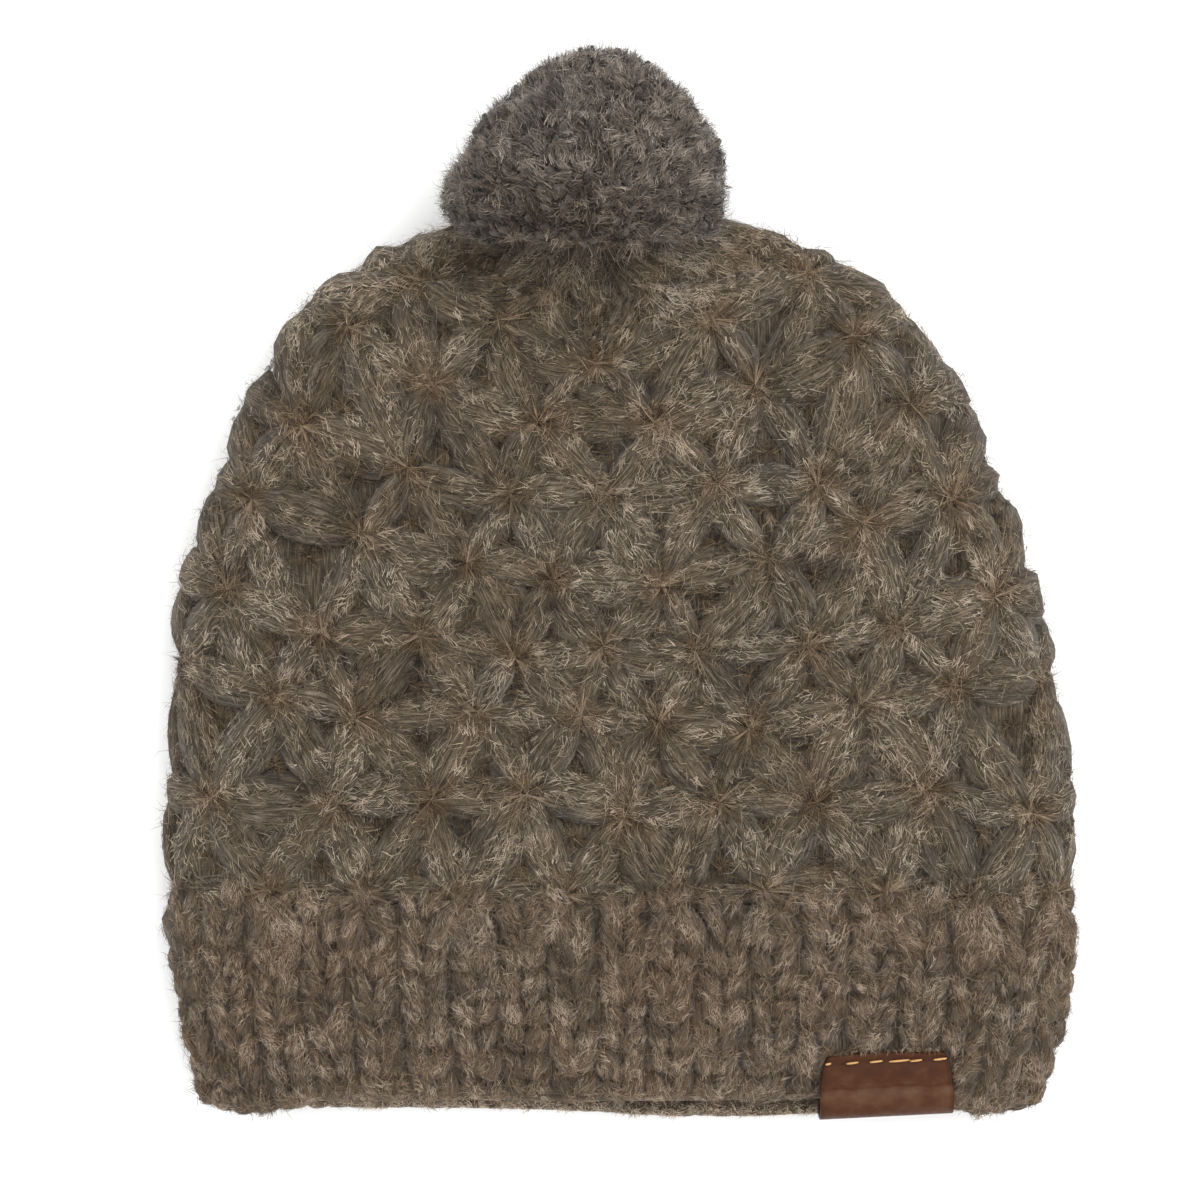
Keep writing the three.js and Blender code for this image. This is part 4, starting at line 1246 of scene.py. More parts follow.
chance = np.random.default_rng(41)
turn = chance.uniform(0, 1, RIM_DOWN)
outer, out = band_map.at(np.full(RIM_DOWN, BAND_RIM - RIM_INSET), turn)
depth = chance.uniform(RIM_SKIN, BAND_WALL, RIM_DOWN)
roots = outer - out * depth[:, None]
kept = np.flatnonzero(~under_label(roots))
lock = locks_of(turn[kept] * RIM_LOCKS, depth[kept] / RIM_LOCK_DEPTH)
below = np.tile((0.0, -1.0, 0.0), (len(kept), 1))
inward = out[kept] * chance.choice((-1, 1), len(kept))[:, None]
rim_down = fibre_mesh("rim_down", roots[kept], inward, below, {
    "long": 2.4, "wide": 0.24, "lift": 0.2, "stray": 0.9, "bend": 0, "edge": 1.0,
    "gather": 0.25, "lock_shade": 0.12, "shade": 0.16}, lock, RIM_DOWN_SHADE, 0.0, band_fibre, chance)

# %% Down on the back layer's edge
# painted light: a high shade for the fibres on the rolled edge
ROLL_FIBRES, ROLL_LOCKS, ROLL_PAINTED_LIGHT, ROUND_THE_ROLL = 6500, 6, 0.78, 1.6

chance = np.random.default_rng(40)
index = chance.integers(0, ROLL_STITCHES, ROLL_FIBRES)
share = chance.uniform(ALONG_FROM, ALONG_TO, ROLL_FIBRES)
angle = -np.pi / 2 + chance.uniform(-ROUND_THE_ROLL, ROUND_THE_ROLL, ROLL_FIBRES)
roots, along, facing = puff_skin(roll_map, pick(back_roll, index), share, angle)
lock = index * ROLL_LOCKS + (share * ROLL_LOCKS).astype(int)
back_down = fibre_mesh("back_down", roots, along, facing, {
    "long": 2.2, "wide": 0.2, "lift": 0.22, "stray": 0.9, "bend": 0, "edge": 0.6,
    "gather": 0.2, "lock_shade": 0.1, "shade": 0.15}, lock, ROLL_PAINTED_LIGHT, 0.0, painted_light_edge_fibre, chance)

# %% [markdown]
# ## Pompom
# A pompom is a bundle of yarn tied in the middle and cut to a ball, so what shows is hundreds of cut ends
# that all point away from the tie, which sits low, against the gathered crown. Scissors never cut a true
# ball: this one is flat where it leans on the crown, trimmed at its shoulders, pulled to one side and a
# little lumpy, with a tuft that stands out on the left. One function says how far the ball goes out in any
# direction, and the core, the cut ends and the fibres all use it.

# %% Pompom form
POMPOM_CENTRE = np.array([-8.4, 108.2, 35.0])
POMPOM_RADII = np.array([34.8, 34.2, 33.0])
POMPOM_SEAT, POMPOM_SEAT_LEAN = 11, 0.2
POMPOM_SHOULDERS = {"left": 0.105, "right": 0.06}
POMPOM_LEAN, POMPOM_LUMPS, LUMP_SIZE = 0.09, 0.026, 6
TIE = np.array([-6.4, 93.0, 46.0])
TUFT_SIDE, TUFT_REACH, TUFT_SPREAD = unit(np.array([-0.956, -0.081, -0.28])), 0.1, 0.02


def pompom_reach(direction):
    """How far the ball goes out in a direction, as a share of its radii."""
    x, y, z = (direction[..., axis] for axis in range(3))
    seatward = -POMPOM_RADII[1] * y - POMPOM_SEAT_LEAN * POMPOM_RADII[2] * z
    seat = np.where(seatward > POMPOM_SEAT, POMPOM_SEAT / np.maximum(seatward, 1e-6), 1)
    shoulder = np.where(x < 0, POMPOM_SHOULDERS["left"], POMPOM_SHOULDERS["right"])
    tuft = 1 + TUFT_REACH * np.exp((direction @ TUFT_SIDE - 1) / TUFT_SPREAD)
    lumps = POMPOM_LUMPS * soft_noise(direction.reshape(-1, 3) * POMPOM_RADII, LUMP_SIZE, 57).reshape(x.shape)
    trimmed = 1 + np.where(y > 0, POMPOM_LEAN * x * y - shoulder * (2 * x * y) ** 2, 0)
    return seat * tuft * trimmed * (1 + lumps)


def ball_directions(count, chance, wander):
    """Directions spread evenly over a ball, each moved a little."""
    level = 1 - (2 * np.arange(count) + 1) / count
    ring = np.sqrt(1 - level ** 2)
    turn = np.arange(count) * np.pi * (3 - np.sqrt(5))
    even = np.stack([ring * np.cos(turn), ring * np.sin(turn), level], axis=-1)
    return unit(even + chance.normal(0, wander, even.shape))


def pompom_surface(direction, out=0.0):
    """Places on the ball in given directions, or some millimetres out from it."""
    return POMPOM_CENTRE + direction * pompom_reach(direction)[..., None] * (POMPOM_RADII + out)


print("pompom about", 2 * POMPOM_RADII, "mm across before its cut ends")

# %% [markdown]
# A lumpy core gives the ball its mass and closes the view between the ends. It is a grid of rings over the
# ball, just below the surface, with ripples for the bundles of yarn.

# %% Pompom core
CORE_LINES, CORE_SIDES, CORE_POLE = 40, 64, 0.02
CORE_SUNK, CORE_RIPPLE, CORE_ABOVE_TABLE = 1.5, 0.9, 0.1
CORE_YARN = 35
# The corners of a square in this order make it face the other way.
TURNED_OVER = (0, 3, 2, 1)

level, around = np.meshgrid(np.linspace(CORE_POLE, np.pi - CORE_POLE, CORE_LINES),
                            2 * np.pi * np.arange(CORE_SIDES) / CORE_SIDES, indexing="ij")
direction = np.stack([np.sin(level) * np.cos(around), np.sin(level) * np.sin(around), np.cos(level)], axis=-1)
ripple = np.sin(9 * around + 3 * level) * np.sin(11 * level)
core = pompom_surface(direction, (CORE_RIPPLE * ripple - CORE_SUNK)[..., None])
core[..., 2] = np.maximum(core[..., 2], CORE_ABOVE_TABLE)
quads = grid_quads(CORE_LINES, CORE_SIDES)[:, TURNED_OVER]
caps = [np.arange(CORE_SIDES)[None, :], ((CORE_LINES - 1) * CORE_SIDES + np.arange(CORE_SIDES))[None, ::-1]]
yarn = np.stack([level, around, np.zeros_like(level)], axis=-1).reshape(-1, 3) * CORE_YARN
uv = np.stack([around / (2 * np.pi), level / np.pi], axis=-1).reshape(-1, 2)
pompom_core = joined_mesh("pompom_core", core.reshape(-1, 3), [quads, *caps], pompom_yarn, {"yarn": yarn}, uv)

# %% [markdown]
# On the core stand the cut ends of yarn, short tubes with blunt, rounded tips. Spread evenly over the ball
# and then moved a little, they have no rows. Each leans away from the tie and is longer or shorter than the
# next, which gives the ball its rough outline.

# %% Cut ends of yarn
ENDS, END_SIDES, END_THICK = 900, 6, 1.35
END_SHAPE = np.array([(-4.0, 0.8), (0.0, 1.0), (1.4, 0.8), (2.2, 0.4)])
END_RINGS = len(END_SHAPE)
END_OUTWARD, END_STRAY, END_ABOVE_TABLE = 0.25, 0.2, 1.0
SHORTEST_END, LONGEST_END = 0.2, 1.7

chance = np.random.default_rng(52)
direction = ball_directions(ENDS, chance, 0.03)
foot = pompom_surface(direction)
keep = foot[:, 2] > END_ABOVE_TABLE
direction, foot = direction[keep], foot[keep]
lean = unit(unit(foot - TIE) + END_OUTWARD * direction + chance.normal(0, END_STRAY, foot.shape))
flat = unit(np.cross(lean, unit(chance.normal(0, 1, lean.shape))))
other = np.cross(lean, flat)
reach = chance.normal(1, 0.3, len(foot)).clip(SHORTEST_END, LONGEST_END)
thick = END_THICK * chance.normal(1, 0.13, len(foot))
turn = 2 * np.pi * np.arange(END_SIDES) / END_SIDES
ring_out = END_SHAPE[None, :, 0] * reach[:, None]
ring_wide = END_SHAPE[None, :, 1] * thick[:, None]
skin = (foot[:, None, None] + lean[:, None, None] * ring_out[:, :, None, None]
        + (flat[:, None, None] * np.cos(turn)[None, None, :, None]
           + other[:, None, None] * np.sin(turn)[None, None, :, None]) * ring_wide[:, :, None, None])
skin[..., 2] = np.maximum(skin[..., 2], ABOVE_TABLE)
print("cut ends:", len(foot))

# %% Mesh of the cut ends
start = (np.arange(len(foot)) * END_RINGS * END_SIDES)[:, None, None]
quads = (start + grid_quads(END_RINGS, END_SIDES)).reshape(-1, 4)
caps = [(start[:, 0] + np.arange(END_SIDES)[None, ::-1]),
        (start[:, 0] + (END_RINGS - 1) * END_SIDES + np.arange(END_SIDES)[None, :])]
ring_share = (np.arange(END_RINGS) / (END_RINGS - 1))[None, :, None]
seed = (np.arange(len(foot)) * 2.3)[:, None, None]
along, about, seed, u, v = (np.broadcast_to(value, skin.shape[:3]) for value in (
    ring_out[:, :, None], turn[None, None, :] * 1.7, seed, ring_share, (turn / (2 * np.pi))[None, None, :]))
yarn = np.stack([along, about, seed], axis=-1).reshape(-1, 3)
uv = uv_fields(len(foot), u, v)
pompom_ends = joined_mesh("pompom_ends", skin.reshape(-1, 3), [quads, *caps], pompom_yarn, {"yarn": yarn}, uv)

# %% [markdown]
# Cut yarn frays, so the ball is covered with fibres that run away from the tie. They are felted into locks,
# which lie this way and that. The wool is painted darker low down, where the ball meets the crown, more on
# the left, as painted shade, and darker on fibres rooted deeper, as painted shade in the ball. It is warmer
# near the tie and in the tuft.

# %% Fibres of the pompom
LOCK_SIZE, SWIRL, HIGHEST_ROOT = 3.2, 0.45, 2.4
# painted shade: darker low on the ball and on fibres rooted deeper
POMPOM_SHADE, POMPOM_PATCHES, ROOT_DEPTH_PAINTED_SHADE, LOW_PAINTED_SHADE = 0.41, 0.09, 0.1, 0.2
LOW_FROM, LOW_SPAN, LOW_SHADE_ON_RIGHT = 3, 7, 0.6
TIE_WARMTH, TIE_REACH = 0.7, 26
OUTER_FROM, LOCK_SWIRL, LOCK_TILT = 0.7, 0.4, 0.35


def pompom_fibres(name, wanted, look, seed, deepest, lowest):
    """Fibres all over the ball, rooted from the deepest to just above its surface."""
    chance = np.random.default_rng(seed)
    direction = unit(chance.normal(0, 1, (3 * wanted, 3)))
    out = chance.uniform(deepest, HIGHEST_ROOT, len(direction))
    roots = pompom_surface(direction, out[:, None])
    kept = np.flatnonzero(roots[:, 2] > lowest)[:wanted]
    direction, out, roots = direction[kept], out[kept], roots[kept]
    swirl = np.stack([soft_noise(roots, 4, 70 + axis) for axis in range(3)], axis=-1)
    away = unit(roots - TIE)
    along = unit(away - 0.5 * (away * direction).sum(axis=1)[:, None] * direction + SWIRL * swirl)
    lock = locks_of(roots / LOCK_SIZE + LOCK_SWIRL * swirl)
    tip = np.stack([shared(lock, chance, LOCK_TILT) for axis in range(3)], axis=-1)
    # painted shade low on the ball, where it meets the crown, weaker on the right
    low = np.exp(-np.clip(roots[:, 1] - TIE[1] - LOW_FROM, 0, None) / LOW_SPAN)
    low *= np.where(roots[:, 0] < TIE[0], 1, LOW_SHADE_ON_RIGHT)
    # painted shade: fibres rooted deeper in the ball are darker, those further out paler
    shade = POMPOM_SHADE + POMPOM_PATCHES * soft_noise(roots, 4, 74) + ROOT_DEPTH_PAINTED_SHADE * (out - OUTER_FROM)
    shade -= LOW_PAINTED_SHADE * low
    from_tie = np.linalg.norm(roots - TIE, axis=1)
    in_tuft = np.exp((direction @ TUFT_SIDE - 1) / TUFT_SPREAD)
    warm = TIE_WARMTH * np.exp(-(from_tie / TIE_REACH) ** 2) + in_tuft
    facing = unit(direction + tip)
    return fibre_mesh(name, roots, along, facing, look, lock, shade, warm, pompom_fibre, chance)


pompom_down = pompom_fibres("pompom_down", 110000, {
    "long": 2.8, "wide": 0.22, "lift": 0.22, "stray": 0.45, "bend": 0, "edge": 0.35,
    "gather": 0.45, "lock_shade": 0.15, "shade": 0.15}, 53, -1.5, 4)
pompom_hairs = pompom_fibres("pompom_hairs", 24000, {
    "long": 3.8, "wide": 0.13, "lift": 0.35, "stray": 0.9, "bend": 1.3, "edge": 0.8,
    "gather": 0.1, "lock_shade": 0.1, "shade": 0.17}, 54, 0.5, 8)

# %% [markdown]
# Where the ball sits on the crown, its longest strands fall over the gathers in tufts, painted dark as the
# shade under the ball, and hide the seam. They are fibres too, longest in the middle, that start low on the
# front of the ball and hang down.

# %% Skirt of the pompom
SKIRT, SKIRT_HALF_WIDTH = 7000, 16
SKIRT_LONG, SKIRT_MIDDLE_LONG = 3.0, 5.0
# painted shade: the skirt's tufts are dark for the shade under the ball
SKIRT_PAINTED_SHADE, SKIRT_WARMTH = 0.27, 0.4
SKIRT_TURN, SKIRT_TALL, SKIRT_LOW = 1.25, 0.8, 0.42
SKIRT_FLATTER, SKIRT_FALL = (1, 1, 0.2), (0, 0.45, 0.5)

chance = np.random.default_rng(55)
turn = chance.uniform(-SKIRT_TURN, SKIRT_TURN, SKIRT)
tall = chance.uniform(0.0, SKIRT_TALL, SKIRT)
direction = unit(np.stack([np.sin(turn), -SKIRT_LOW - 0.2 * tall, tall], axis=-1))
roots = pompom_surface(direction, chance.uniform(-1, 1, SKIRT)[:, None])
falling = unit(roots - TIE + chance.normal(0, 3.0, roots.shape)) * SKIRT_FLATTER - SKIRT_FALL
lock = locks_of(roots / LOCK_SIZE)
middle = np.exp(-((roots[:, 0] - TIE[0]) / SKIRT_HALF_WIDTH) ** 2)
lock_long = (SKIRT_LONG + SKIRT_MIDDLE_LONG * middle) * np.exp(shared(lock, chance, 0.35))
pompom_skirt = fibre_mesh("pompom_skirt", roots, unit(falling), unit(direction + (0, 0, 0.6)), {
    "long": lock_long, "wide": 0.2, "lift": 0.1, "stray": 0.7, "bend": 0.6, "edge": 0.8,
    "gather": 0.7, "lock_shade": 0.2, "shade": 0.14}, lock, SKIRT_PAINTED_SHADE, SKIRT_WARMTH, pompom_fibre, chance)

# %% [markdown]
# ## Leather label
# The label is a strip of waxed leather bent round the rim like a thin U, and sewn through near its upper
# edge with a golden thread. A bent box would have the right size, but leather is never flat. So the strip
# is a grid that follows the bend, with its creases and a slight unevenness. Solidify then gives it the
# leather's thickness, and Bevel softens the cut edges.

# %% Path of the strip
STRIP_ACROSS, FOLD_STEPS, LEAF_STEPS = 36, 16, 22


def band_front_z(x, y):
    """Height of the front of the band over a place."""
    places = band_map.places.reshape(-1, 3)
    places = places[places[:, 2] > FOLD_WALL]
    return places[np.argmin(np.hypot(places[:, 0] - x, places[:, 1] - y)), 2]


reach = (BAND_WALL + LABEL_PROUD - LABEL_THICKNESS) / 2
outer = (BAND_WALL + LABEL_PROUD) / 2
front_z = band_front_z(LABEL_X, LABEL_FRONT_TOP_Y) + LABEL_PROUD - LABEL_THICKNESS / 2
rim_z = band_front_z(LABEL_X, LABEL_FOLD_Y + BAND_WALL) + LABEL_PROUD
fold_y, fold_z = LABEL_FOLD_Y + outer, rim_z - outer
bend = np.pi / 2 + np.pi * np.arange(FOLD_STEPS + 1) / FOLD_STEPS
path = np.concatenate([
    np.linspace((LABEL_FRONT_TOP_Y, front_z), (fold_y, fold_z + reach), LEAF_STEPS, endpoint=False),
    np.stack([fold_y + reach * np.cos(bend), fold_z + reach * np.sin(bend)], axis=-1),
    np.linspace((fold_y, fold_z - reach), (LABEL_BACK_TOP_Y, fold_z - reach), LEAF_STEPS // 2 + 1)[1:]])
down = np.concatenate([[0], np.cumsum(np.linalg.norm(np.diff(path, axis=0), axis=-1))])
print("the strip is", round(float(down[-1]), 1), "mm long")

# %% Strip of leather
WIDEST, TOP_NARROWER, NARROW_OVER = 1.02, 0.14, 3.5
FRONT_WAVE, TOP_WAVE, TOP_WAVE_OVER, FOLD_FREE = 0.16, 0.35, 4, 3
RELIEF = ((0.4, 12.4, 2.6), (-0.4, 8.8, 1.6), (-0.35, 2.3, 1.5))

across = np.linspace(-LABEL_WIDTH / 2, LABEL_WIDTH / 2, STRIP_ACROSS + 1)
strip = np.empty((len(path), len(across), 3))
taper = WIDEST - TOP_NARROWER * np.exp(-down / NARROW_OVER)
strip[..., 0] = across[None, :] * taper[:, None]
strip[..., 1:] = path[:, None, :]
on_front = (down < LABEL_FRONT_TOP_Y - LABEL_FOLD_Y - FOLD_FREE)[:, None]
wave = FRONT_WAVE * np.sin(across[None, :] * 0.31 + 1) * np.sin(down[:, None] * 0.5)
strip[..., 2] += np.where(on_front, wave, 0)
for height, middle, spread in RELIEF:
    strip[..., 2] += height * np.exp(-((down - middle) / spread) ** 2)[:, None]
strip[..., 1] += TOP_WAVE * np.cos(across[None, :] * 0.16 + 0.6) * np.exp(-down[:, None] / TOP_WAVE_OVER)
side_z = [band_front_z(LABEL_X + side * LABEL_WIDTH / 2, LABEL_FRONT_TOP_Y) for side in (-1, 1)]
tilt = np.arctan2(side_z[0] - side_z[1], LABEL_WIDTH)


def on_the_band(points):
    """From the strip's own place to the hat: tilted with the band, turned a little, and moved over."""
    x, y, z = points[..., 0], points[..., 1] - fold_y, points[..., 2] - fold_z
    x, z = x * np.cos(tilt) + z * np.sin(tilt), z * np.cos(tilt) - x * np.sin(tilt)
    x, y = x * np.cos(LABEL_TURN) - y * np.sin(LABEL_TURN), x * np.sin(LABEL_TURN) + y * np.cos(LABEL_TURN)
    return np.stack([x + LABEL_X, y + fold_y, z + fold_z], axis=-1)


quads = grid_quads(len(path), len(across), closed=False)[:, TURNED_OVER]
print("strip of", len(quads), "squares, tilted by", round(float(np.degrees(tilt)), 1), "degrees")

# %% [markdown]
# Waxed leather is a deep brown with soft mottling and a fine grain. It is darker along the seam and at its
# worn side edges, and painted darker, as painted shade, where it turns under the rim. The crease across the
# strip has a painted dark bottom and a painted highlight on the ridge below it, and the lower part of the
# strip is paler, partly its own tone and partly a painted sheen. The mesh tells the material where each
# point lies on the flat strip, across and down, so that all of this bends with the leather. An image could
# show the same, but nodes are easier to change and stay sharp from near.

# %% Leather material
CREASE_DOWN, RIDGE_BELOW, SEAM_DOWN = 9.2, 2.2, 2.3
WORN_FROM, WORN_TO = 16.4, 18.0
GRAIN_DEPTH, GRAIN_STRENGTH = 0.6, 0.55

leather = bpy.data.materials.new("waxed_leather")
leather.use_nodes = True
nodes, links = leather.node_tree.nodes, leather.node_tree.links
shader = nodes["Principled BSDF"]
shader.inputs["Specular IOR Level"].default_value = 0.15
place = nodes.new("ShaderNodeAttribute")
place.attribute_name = "sheet"
parts = nodes.new("ShaderNodeSeparateXYZ")
links.new(place.outputs["Vector"], parts.inputs["Vector"])


def leather_noise(scale, detail, stretch=(1, 1, 1)):
    """Noise over the flat strip, even or stretched across or down."""
    stretched = stretch_node(nodes, links, place.outputs["Vector"])
    stretched.inputs[1].default_value = stretch
    return noise_node(nodes, links, stretched.outputs["Vector"], scale, detail)


def leather_math(operation, *values):
    return math_node(nodes, links, operation, *values)


def near(value, reach):
    """1 where a value is 0, falling to 0 at the given distance from there."""
    return rescale(nodes, links, leather_math("ABSOLUTE", value), 0.0, reach, 1.0, 0.0)


across_strip, down_strip = parts.outputs["X"], parts.outputs["Y"]
print("leather is placed by its attribute", place.attribute_name)

# %% Tones of the leather
DEEP_BROWN, BROWN, PALE_BROWN = srgb(36, 13, 1), srgb(61, 30, 6), srgb(84, 58, 41)
CREASE_WAVE, CREASE_WIDE, RIDGE_WIDE, SEWN_WIDE = 3.0, 0.9, 1.8, 1.1
CREASE_SHADE_TONE, RIDGE_HIGHLIGHT_TONE, SEWN_TONE, WORN_TONE, TURN_SHADE_TONE = -0.14, 0.14, -0.16, -0.3, -0.16
# painted shade in the crease and where the strip turns under, painted highlight on the ridge below the crease
TURN_FROM, TURN_TO = 13.0, 17.0
# the lower part is paler: partly the leather's own tone, partly painted sheen
UPPER_TO, LOWER_FROM, UPPER_TONE, LOWER_TONE_AND_SHEEN = 6.0, 10.5, 0.46, 0.68

tone = nodes.new("ShaderNodeValToRGB")
tone.color_ramp.elements[0].color = DEEP_BROWN
tone.color_ramp.elements[1].color = PALE_BROWN
middle_tone = tone.color_ramp.elements.new(0.5)
middle_tone.color = BROWN
wave = leather_math("MULTIPLY", leather_math("SUBTRACT", leather_noise(0.13, 1, (1, 0, 0)), 0.5), CREASE_WAVE)
from_crease = leather_math("SUBTRACT", leather_math("SUBTRACT", down_strip, CREASE_DOWN), wave)
# painted shade at the bottom of the crease
crease_shade = leather_math("MULTIPLY", near(from_crease, CREASE_WIDE), CREASE_SHADE_TONE)
from_ridge = leather_math("SUBTRACT", from_crease, RIDGE_BELOW)
# painted highlight on the ridge below the crease
ridge_highlight = leather_math("MULTIPLY", near(from_ridge, RIDGE_WIDE), RIDGE_HIGHLIGHT_TONE)
from_seam = leather_math("SUBTRACT", down_strip, SEAM_DOWN)
sewn = leather_math("MULTIPLY", near(from_seam, SEWN_WIDE), SEWN_TONE)
worn = rescale(nodes, links, leather_math("ABSOLUTE", across_strip), WORN_FROM, WORN_TO, 0.0, WORN_TONE)
mottle = leather_math("SUBTRACT", leather_noise(0.22, 6, (1, 1.3, 1)), 0.5)
# painted shade where the strip turns under the rim
turn_shade = rescale(nodes, links, down_strip, TURN_FROM, TURN_TO, 0.0, TURN_SHADE_TONE)
# paler lower part: partly its own tone, partly painted sheen
shade = rescale(nodes, links, down_strip, UPPER_TO, LOWER_FROM, UPPER_TONE, LOWER_TONE_AND_SHEEN)
changes = crease_shade, ridge_highlight, sewn, worn, mottle, turn_shade
for change in changes:
    shade = leather_math("ADD", shade, change)
links.new(shade, tone.inputs["Fac"])
links.new(tone.outputs["Color"], shader.inputs["Base Color"])
print("changes to the shade of the leather:", len(changes))

# %% Gloss and grain of the leather
waxed = rescale(nodes, links, leather_noise(0.8, 3), 0.3, 0.7, 0.36, 0.56)
links.new(waxed, shader.inputs["Roughness"])
by_crease = leather_math("MULTIPLY", near(from_crease, 3.0), 2.2)
wrinkles = leather_math("MULTIPLY", leather_noise(0.5, 3, (1.0, 2.4, 1.0)), by_crease)
grain = leather_math("MULTIPLY", leather_noise(2.2, 3), 0.6)
relief = nodes.new("ShaderNodeBump")
relief.inputs["Strength"].default_value = GRAIN_STRENGTH
relief.inputs["Distance"].default_value = GRAIN_DEPTH * MM
links.new(leather_math("ADD", wrinkles, grain), relief.inputs["Height"])
links.new(relief.outputs["Normal"], shader.inputs["Normal"])
print("leather:", len(nodes), "nodes")

# %% Label piece
EDGE_SOFTNESS = 0.35
sheet = np.stack(np.broadcast_arrays(across[None, :], down[:, None], 0.0), axis=-1).reshape(-1, 3)
u, v = across / LABEL_WIDTH + 0.5, down / down[-1]
uv = np.stack(np.broadcast_arrays(u[None, :], v[:, None]), axis=-1)
leather_label = joined_mesh("label_leather", on_the_band(strip).reshape(-1, 3), [quads], leather,
                            {"sheet": sheet}, uv.reshape(-1, 2))
thick = leather_label.modifiers.new("thickness", "SOLIDIFY")
thick.thickness = LABEL_THICKNESS * MM
thick.offset = 0
soft = leather_label.modifiers.new("soft_edges", "BEVEL")
soft.width = EDGE_SOFTNESS * MM
soft.segments = 2
soft.limit_method = "ANGLE"

# %% [markdown]
# The label is sewn on in a running stitch, so its golden thread shows as a row of dashes. Each dash is a
# short tube that dips into the leather at both ends. The first one is shorter, and no dash is quite like
# the next.

# %% Dashes of thread
DASHES, DASH_LONG, FIRST_DASH = 6, 3.9, 0.4
DASH_MARGIN, DASH_SLANT = 0.15, 0.25
THREAD, THREAD_END, THREAD_SUNK, THREAD_BOW = 0.3, 0.55, 0.3, 0.4
THREAD_RINGS, THREAD_SIDES = 9, 8

chance = np.random.default_rng(61)
share = np.linspace(0, 1, THREAD_RINGS)[None, :, None]
turn = (2 * np.pi * np.arange(THREAD_SIDES) / THREAD_SIDES)[None, None, :]
start = (np.arange(DASHES) - (DASHES - 1) / 2) * LABEL_WIDTH / (DASHES + DASH_MARGIN) - DASH_LONG / 2
start = (start + chance.normal(0, 0.25, DASHES))[:, None, None]
longer = np.where(np.arange(DASHES) == 0, FIRST_DASH, chance.normal(1, 0.16, DASHES))
along = start + DASH_LONG * longer[:, None, None] * share + 0 * turn
bowed = np.sin(np.pi * share) ** 0.5
drop = LABEL_FRONT_TOP_Y - SEAM_DOWN + chance.normal(0, 0.12, DASHES)[:, None, None]
drop = drop + DASH_SLANT * (share - 0.5)
thin = THREAD * (THREAD_END + (1 - THREAD_END) * bowed)
height = front_z + LABEL_THICKNESS / 2 - THREAD_SUNK + THREAD_BOW * bowed
lying = np.stack(np.broadcast_arrays(
    along, drop + thin * np.cos(turn), height + thin * np.sin(turn)), axis=-1)
first = (np.arange(DASHES) * THREAD_RINGS * THREAD_SIDES)[:, None, None]
quads = (first + grid_quads(THREAD_RINGS, THREAD_SIDES)).reshape(-1, 4)[:, ::-1]
ring = np.arange(THREAD_SIDES)[None, :]
caps = [first[:, 0] + ring, first[:, 0] + (THREAD_RINGS - 1) * THREAD_SIDES + ring[:, ::-1]]
seed = np.arange(DASHES)[:, None, None] * 2.1
thread_yarn = np.stack(np.broadcast_arrays(along * 4, turn * 1.2, seed), axis=-1).reshape(-1, 3)
print("dashes:", (DASH_LONG * longer).round(1), "mm long")

# %% Golden thread
golden = bpy.data.materials.new("golden_thread")
golden.use_nodes = True
nodes, links = golden.node_tree.nodes, golden.node_tree.links
shader = nodes["Principled BSDF"]
shader.inputs["Roughness"].default_value = 0.42
shader.inputs["Sheen Weight"].default_value = 0.2
twist = place_group(nodes, streaks, Along=0.8, Across=1.2, Contrast=2.0)
colour = place_group(nodes, heather, Patch=0.0, Dark=srgb(120, 78, 34),
                     Middle=srgb(186, 136, 74), Pale=srgb(226, 186, 122))
links.new(twist.outputs["Streak"], colour.inputs["Streak"])
links.new(colour.outputs["Color"], shader.inputs["Base Color"])
bump = nodes.new("ShaderNodeBump")
bump.inputs["Strength"].default_value = 0.4
bump.inputs["Distance"].default_value = 0.2 * MM
links.new(twist.outputs["Height"], bump.inputs["Height"])
links.new(bump.outputs["Normal"], shader.inputs["Normal"])
uv = uv_fields(DASHES, share + 0 * along, turn / (2 * np.pi) + 0 * along)
label_thread = joined_mesh("label_thread", on_the_band(lying).reshape(-1, 3), [quads, *caps], golden,
                           {"yarn": thread_yarn}, uv)

# %% [markdown]
# Where the label's upper edge presses into the band, a little wool curls over it. It is what makes the
# leather look sewn on and not laid on.

# %% Wool over the label's edge
FRINGE, FRINGE_SHADE = 130, 0.5
FRINGE_HALF, FRINGE_FROM, FRINGE_TO, FRINGE_ABOVE = 0.46, 0.2, 1.2, 0.15

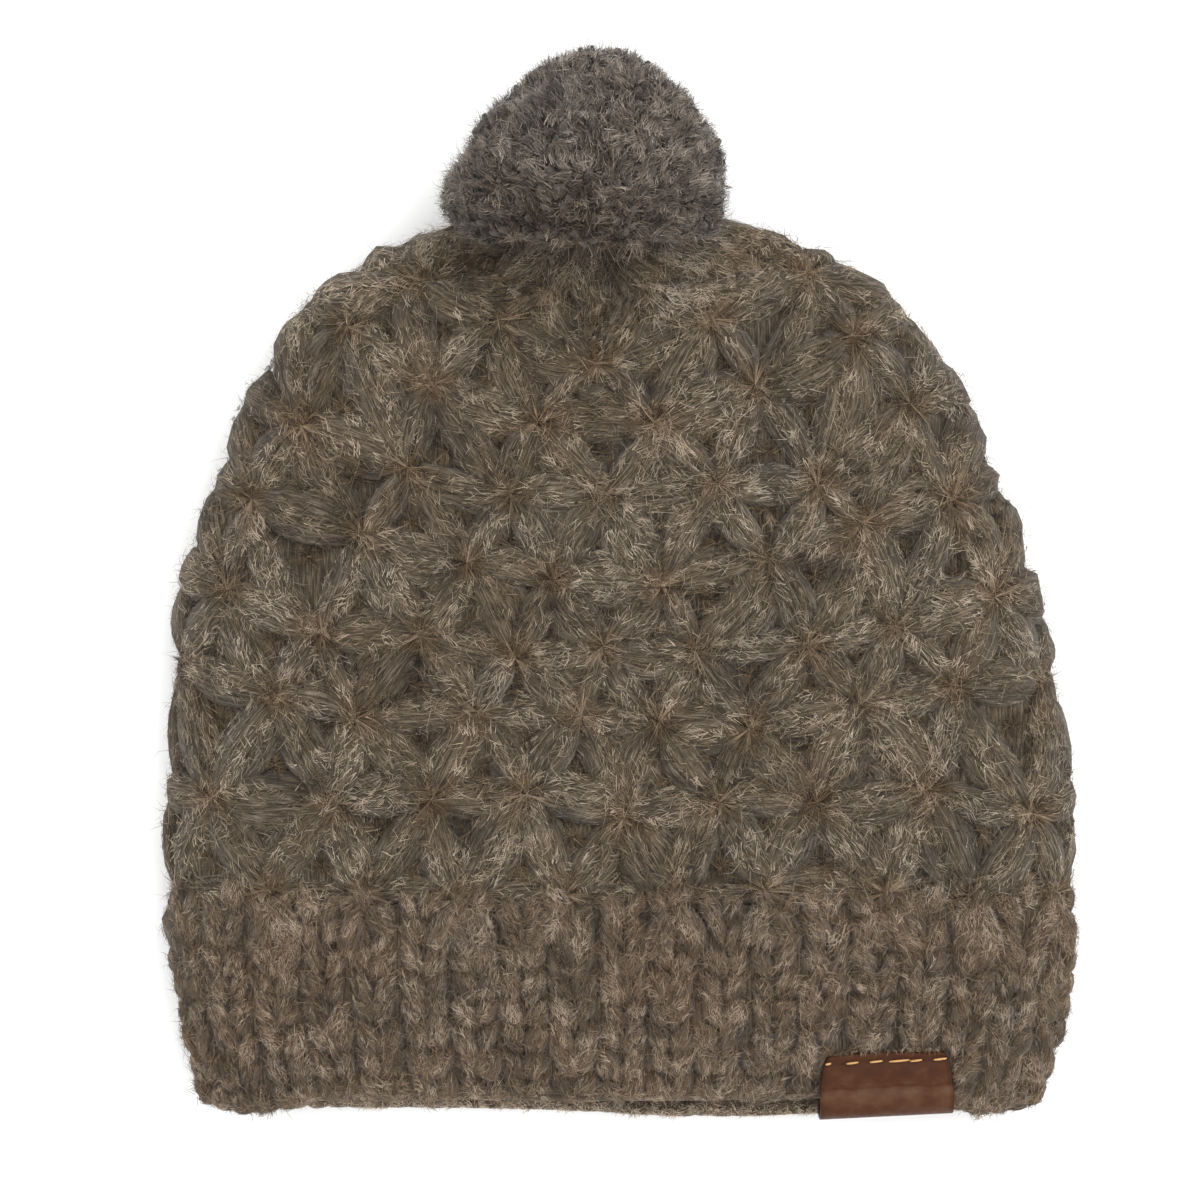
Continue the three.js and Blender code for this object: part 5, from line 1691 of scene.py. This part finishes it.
chance = np.random.default_rng(62)
lying = np.stack([chance.uniform(-FRINGE_HALF, FRINGE_HALF, FRINGE) * LABEL_WIDTH,
                  LABEL_FRONT_TOP_Y + chance.uniform(FRINGE_FROM, FRINGE_TO, FRINGE),
                  np.full(FRINGE, front_z + LABEL_THICKNESS / 2 + FRINGE_ABOVE)], axis=-1)
lock = (lying[:, 0] - lying[:, 0].min()).astype(int)
over_edge, up = (np.tile(way, (FRINGE, 1)) for way in ((0.0, -1.0, 0.0), (0.0, 0.0, 1.0)))
label_fringe = fibre_mesh("label_fringe", on_the_band(lying), over_edge, up, {
    "long": 1.4, "wide": 0.14, "lift": 0.12, "stray": 0.9, "bend": 0.9, "edge": 1.0,
    "gather": 0.2, "lock_shade": 0.12, "shade": 0.16}, lock, FRINGE_SHADE, 0.0, band_fibre, chance)

# %% [markdown]
# ## Handing over
# The hat has no joints, so every piece rides on its one body. The solid that each main mesh stands for is
# then hidden, and stays in the frame for collisions.

# %% Hand the pieces to the frame
for piece, node, slot in (
        (crown_stitches, "crown", "wool"),
        (crown_wall, None, "wool"),
        (crown_down, None, "wool"),
        (crown_hairs, None, "wool"),
        (stray_hairs, None, "wool"),
        (star_rays, None, "wool"),
        (gap_down, None, "wool"),
        (neck_down, None, "wool"),
        (band_stitches, "rib_band", "band_wool"),
        (band_edge, None, "band_wool"),
        (band_wall, None, "band_wool"),
        (band_down, None, "band_wool"),
        (band_hairs, None, "band_wool"),
        (edge_down, None, "band_wool"),
        (back_edge, None, "band_wool"),
        (back_down, None, "band_wool"),
        (rim_down, None, "band_wool"),
        (pompom_ends, "pompom", "pompom_wool"),
        (pompom_core, None, "pompom_wool"),
        (pompom_down, None, "pompom_wool"),
        (pompom_hairs, None, "pompom_wool"),
        (pompom_skirt, None, "pompom_wool"),
        (leather_label, "leather_label", "leather"),
        (label_thread, None, "leather"),
        (label_fringe, None, "band_wool")):
    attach(piece, "root")
    if node:
        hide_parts(node)

total = sum(len(p.vertices) - 2 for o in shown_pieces() for p in o.data.polygons)
print("triangles added in all:", total)
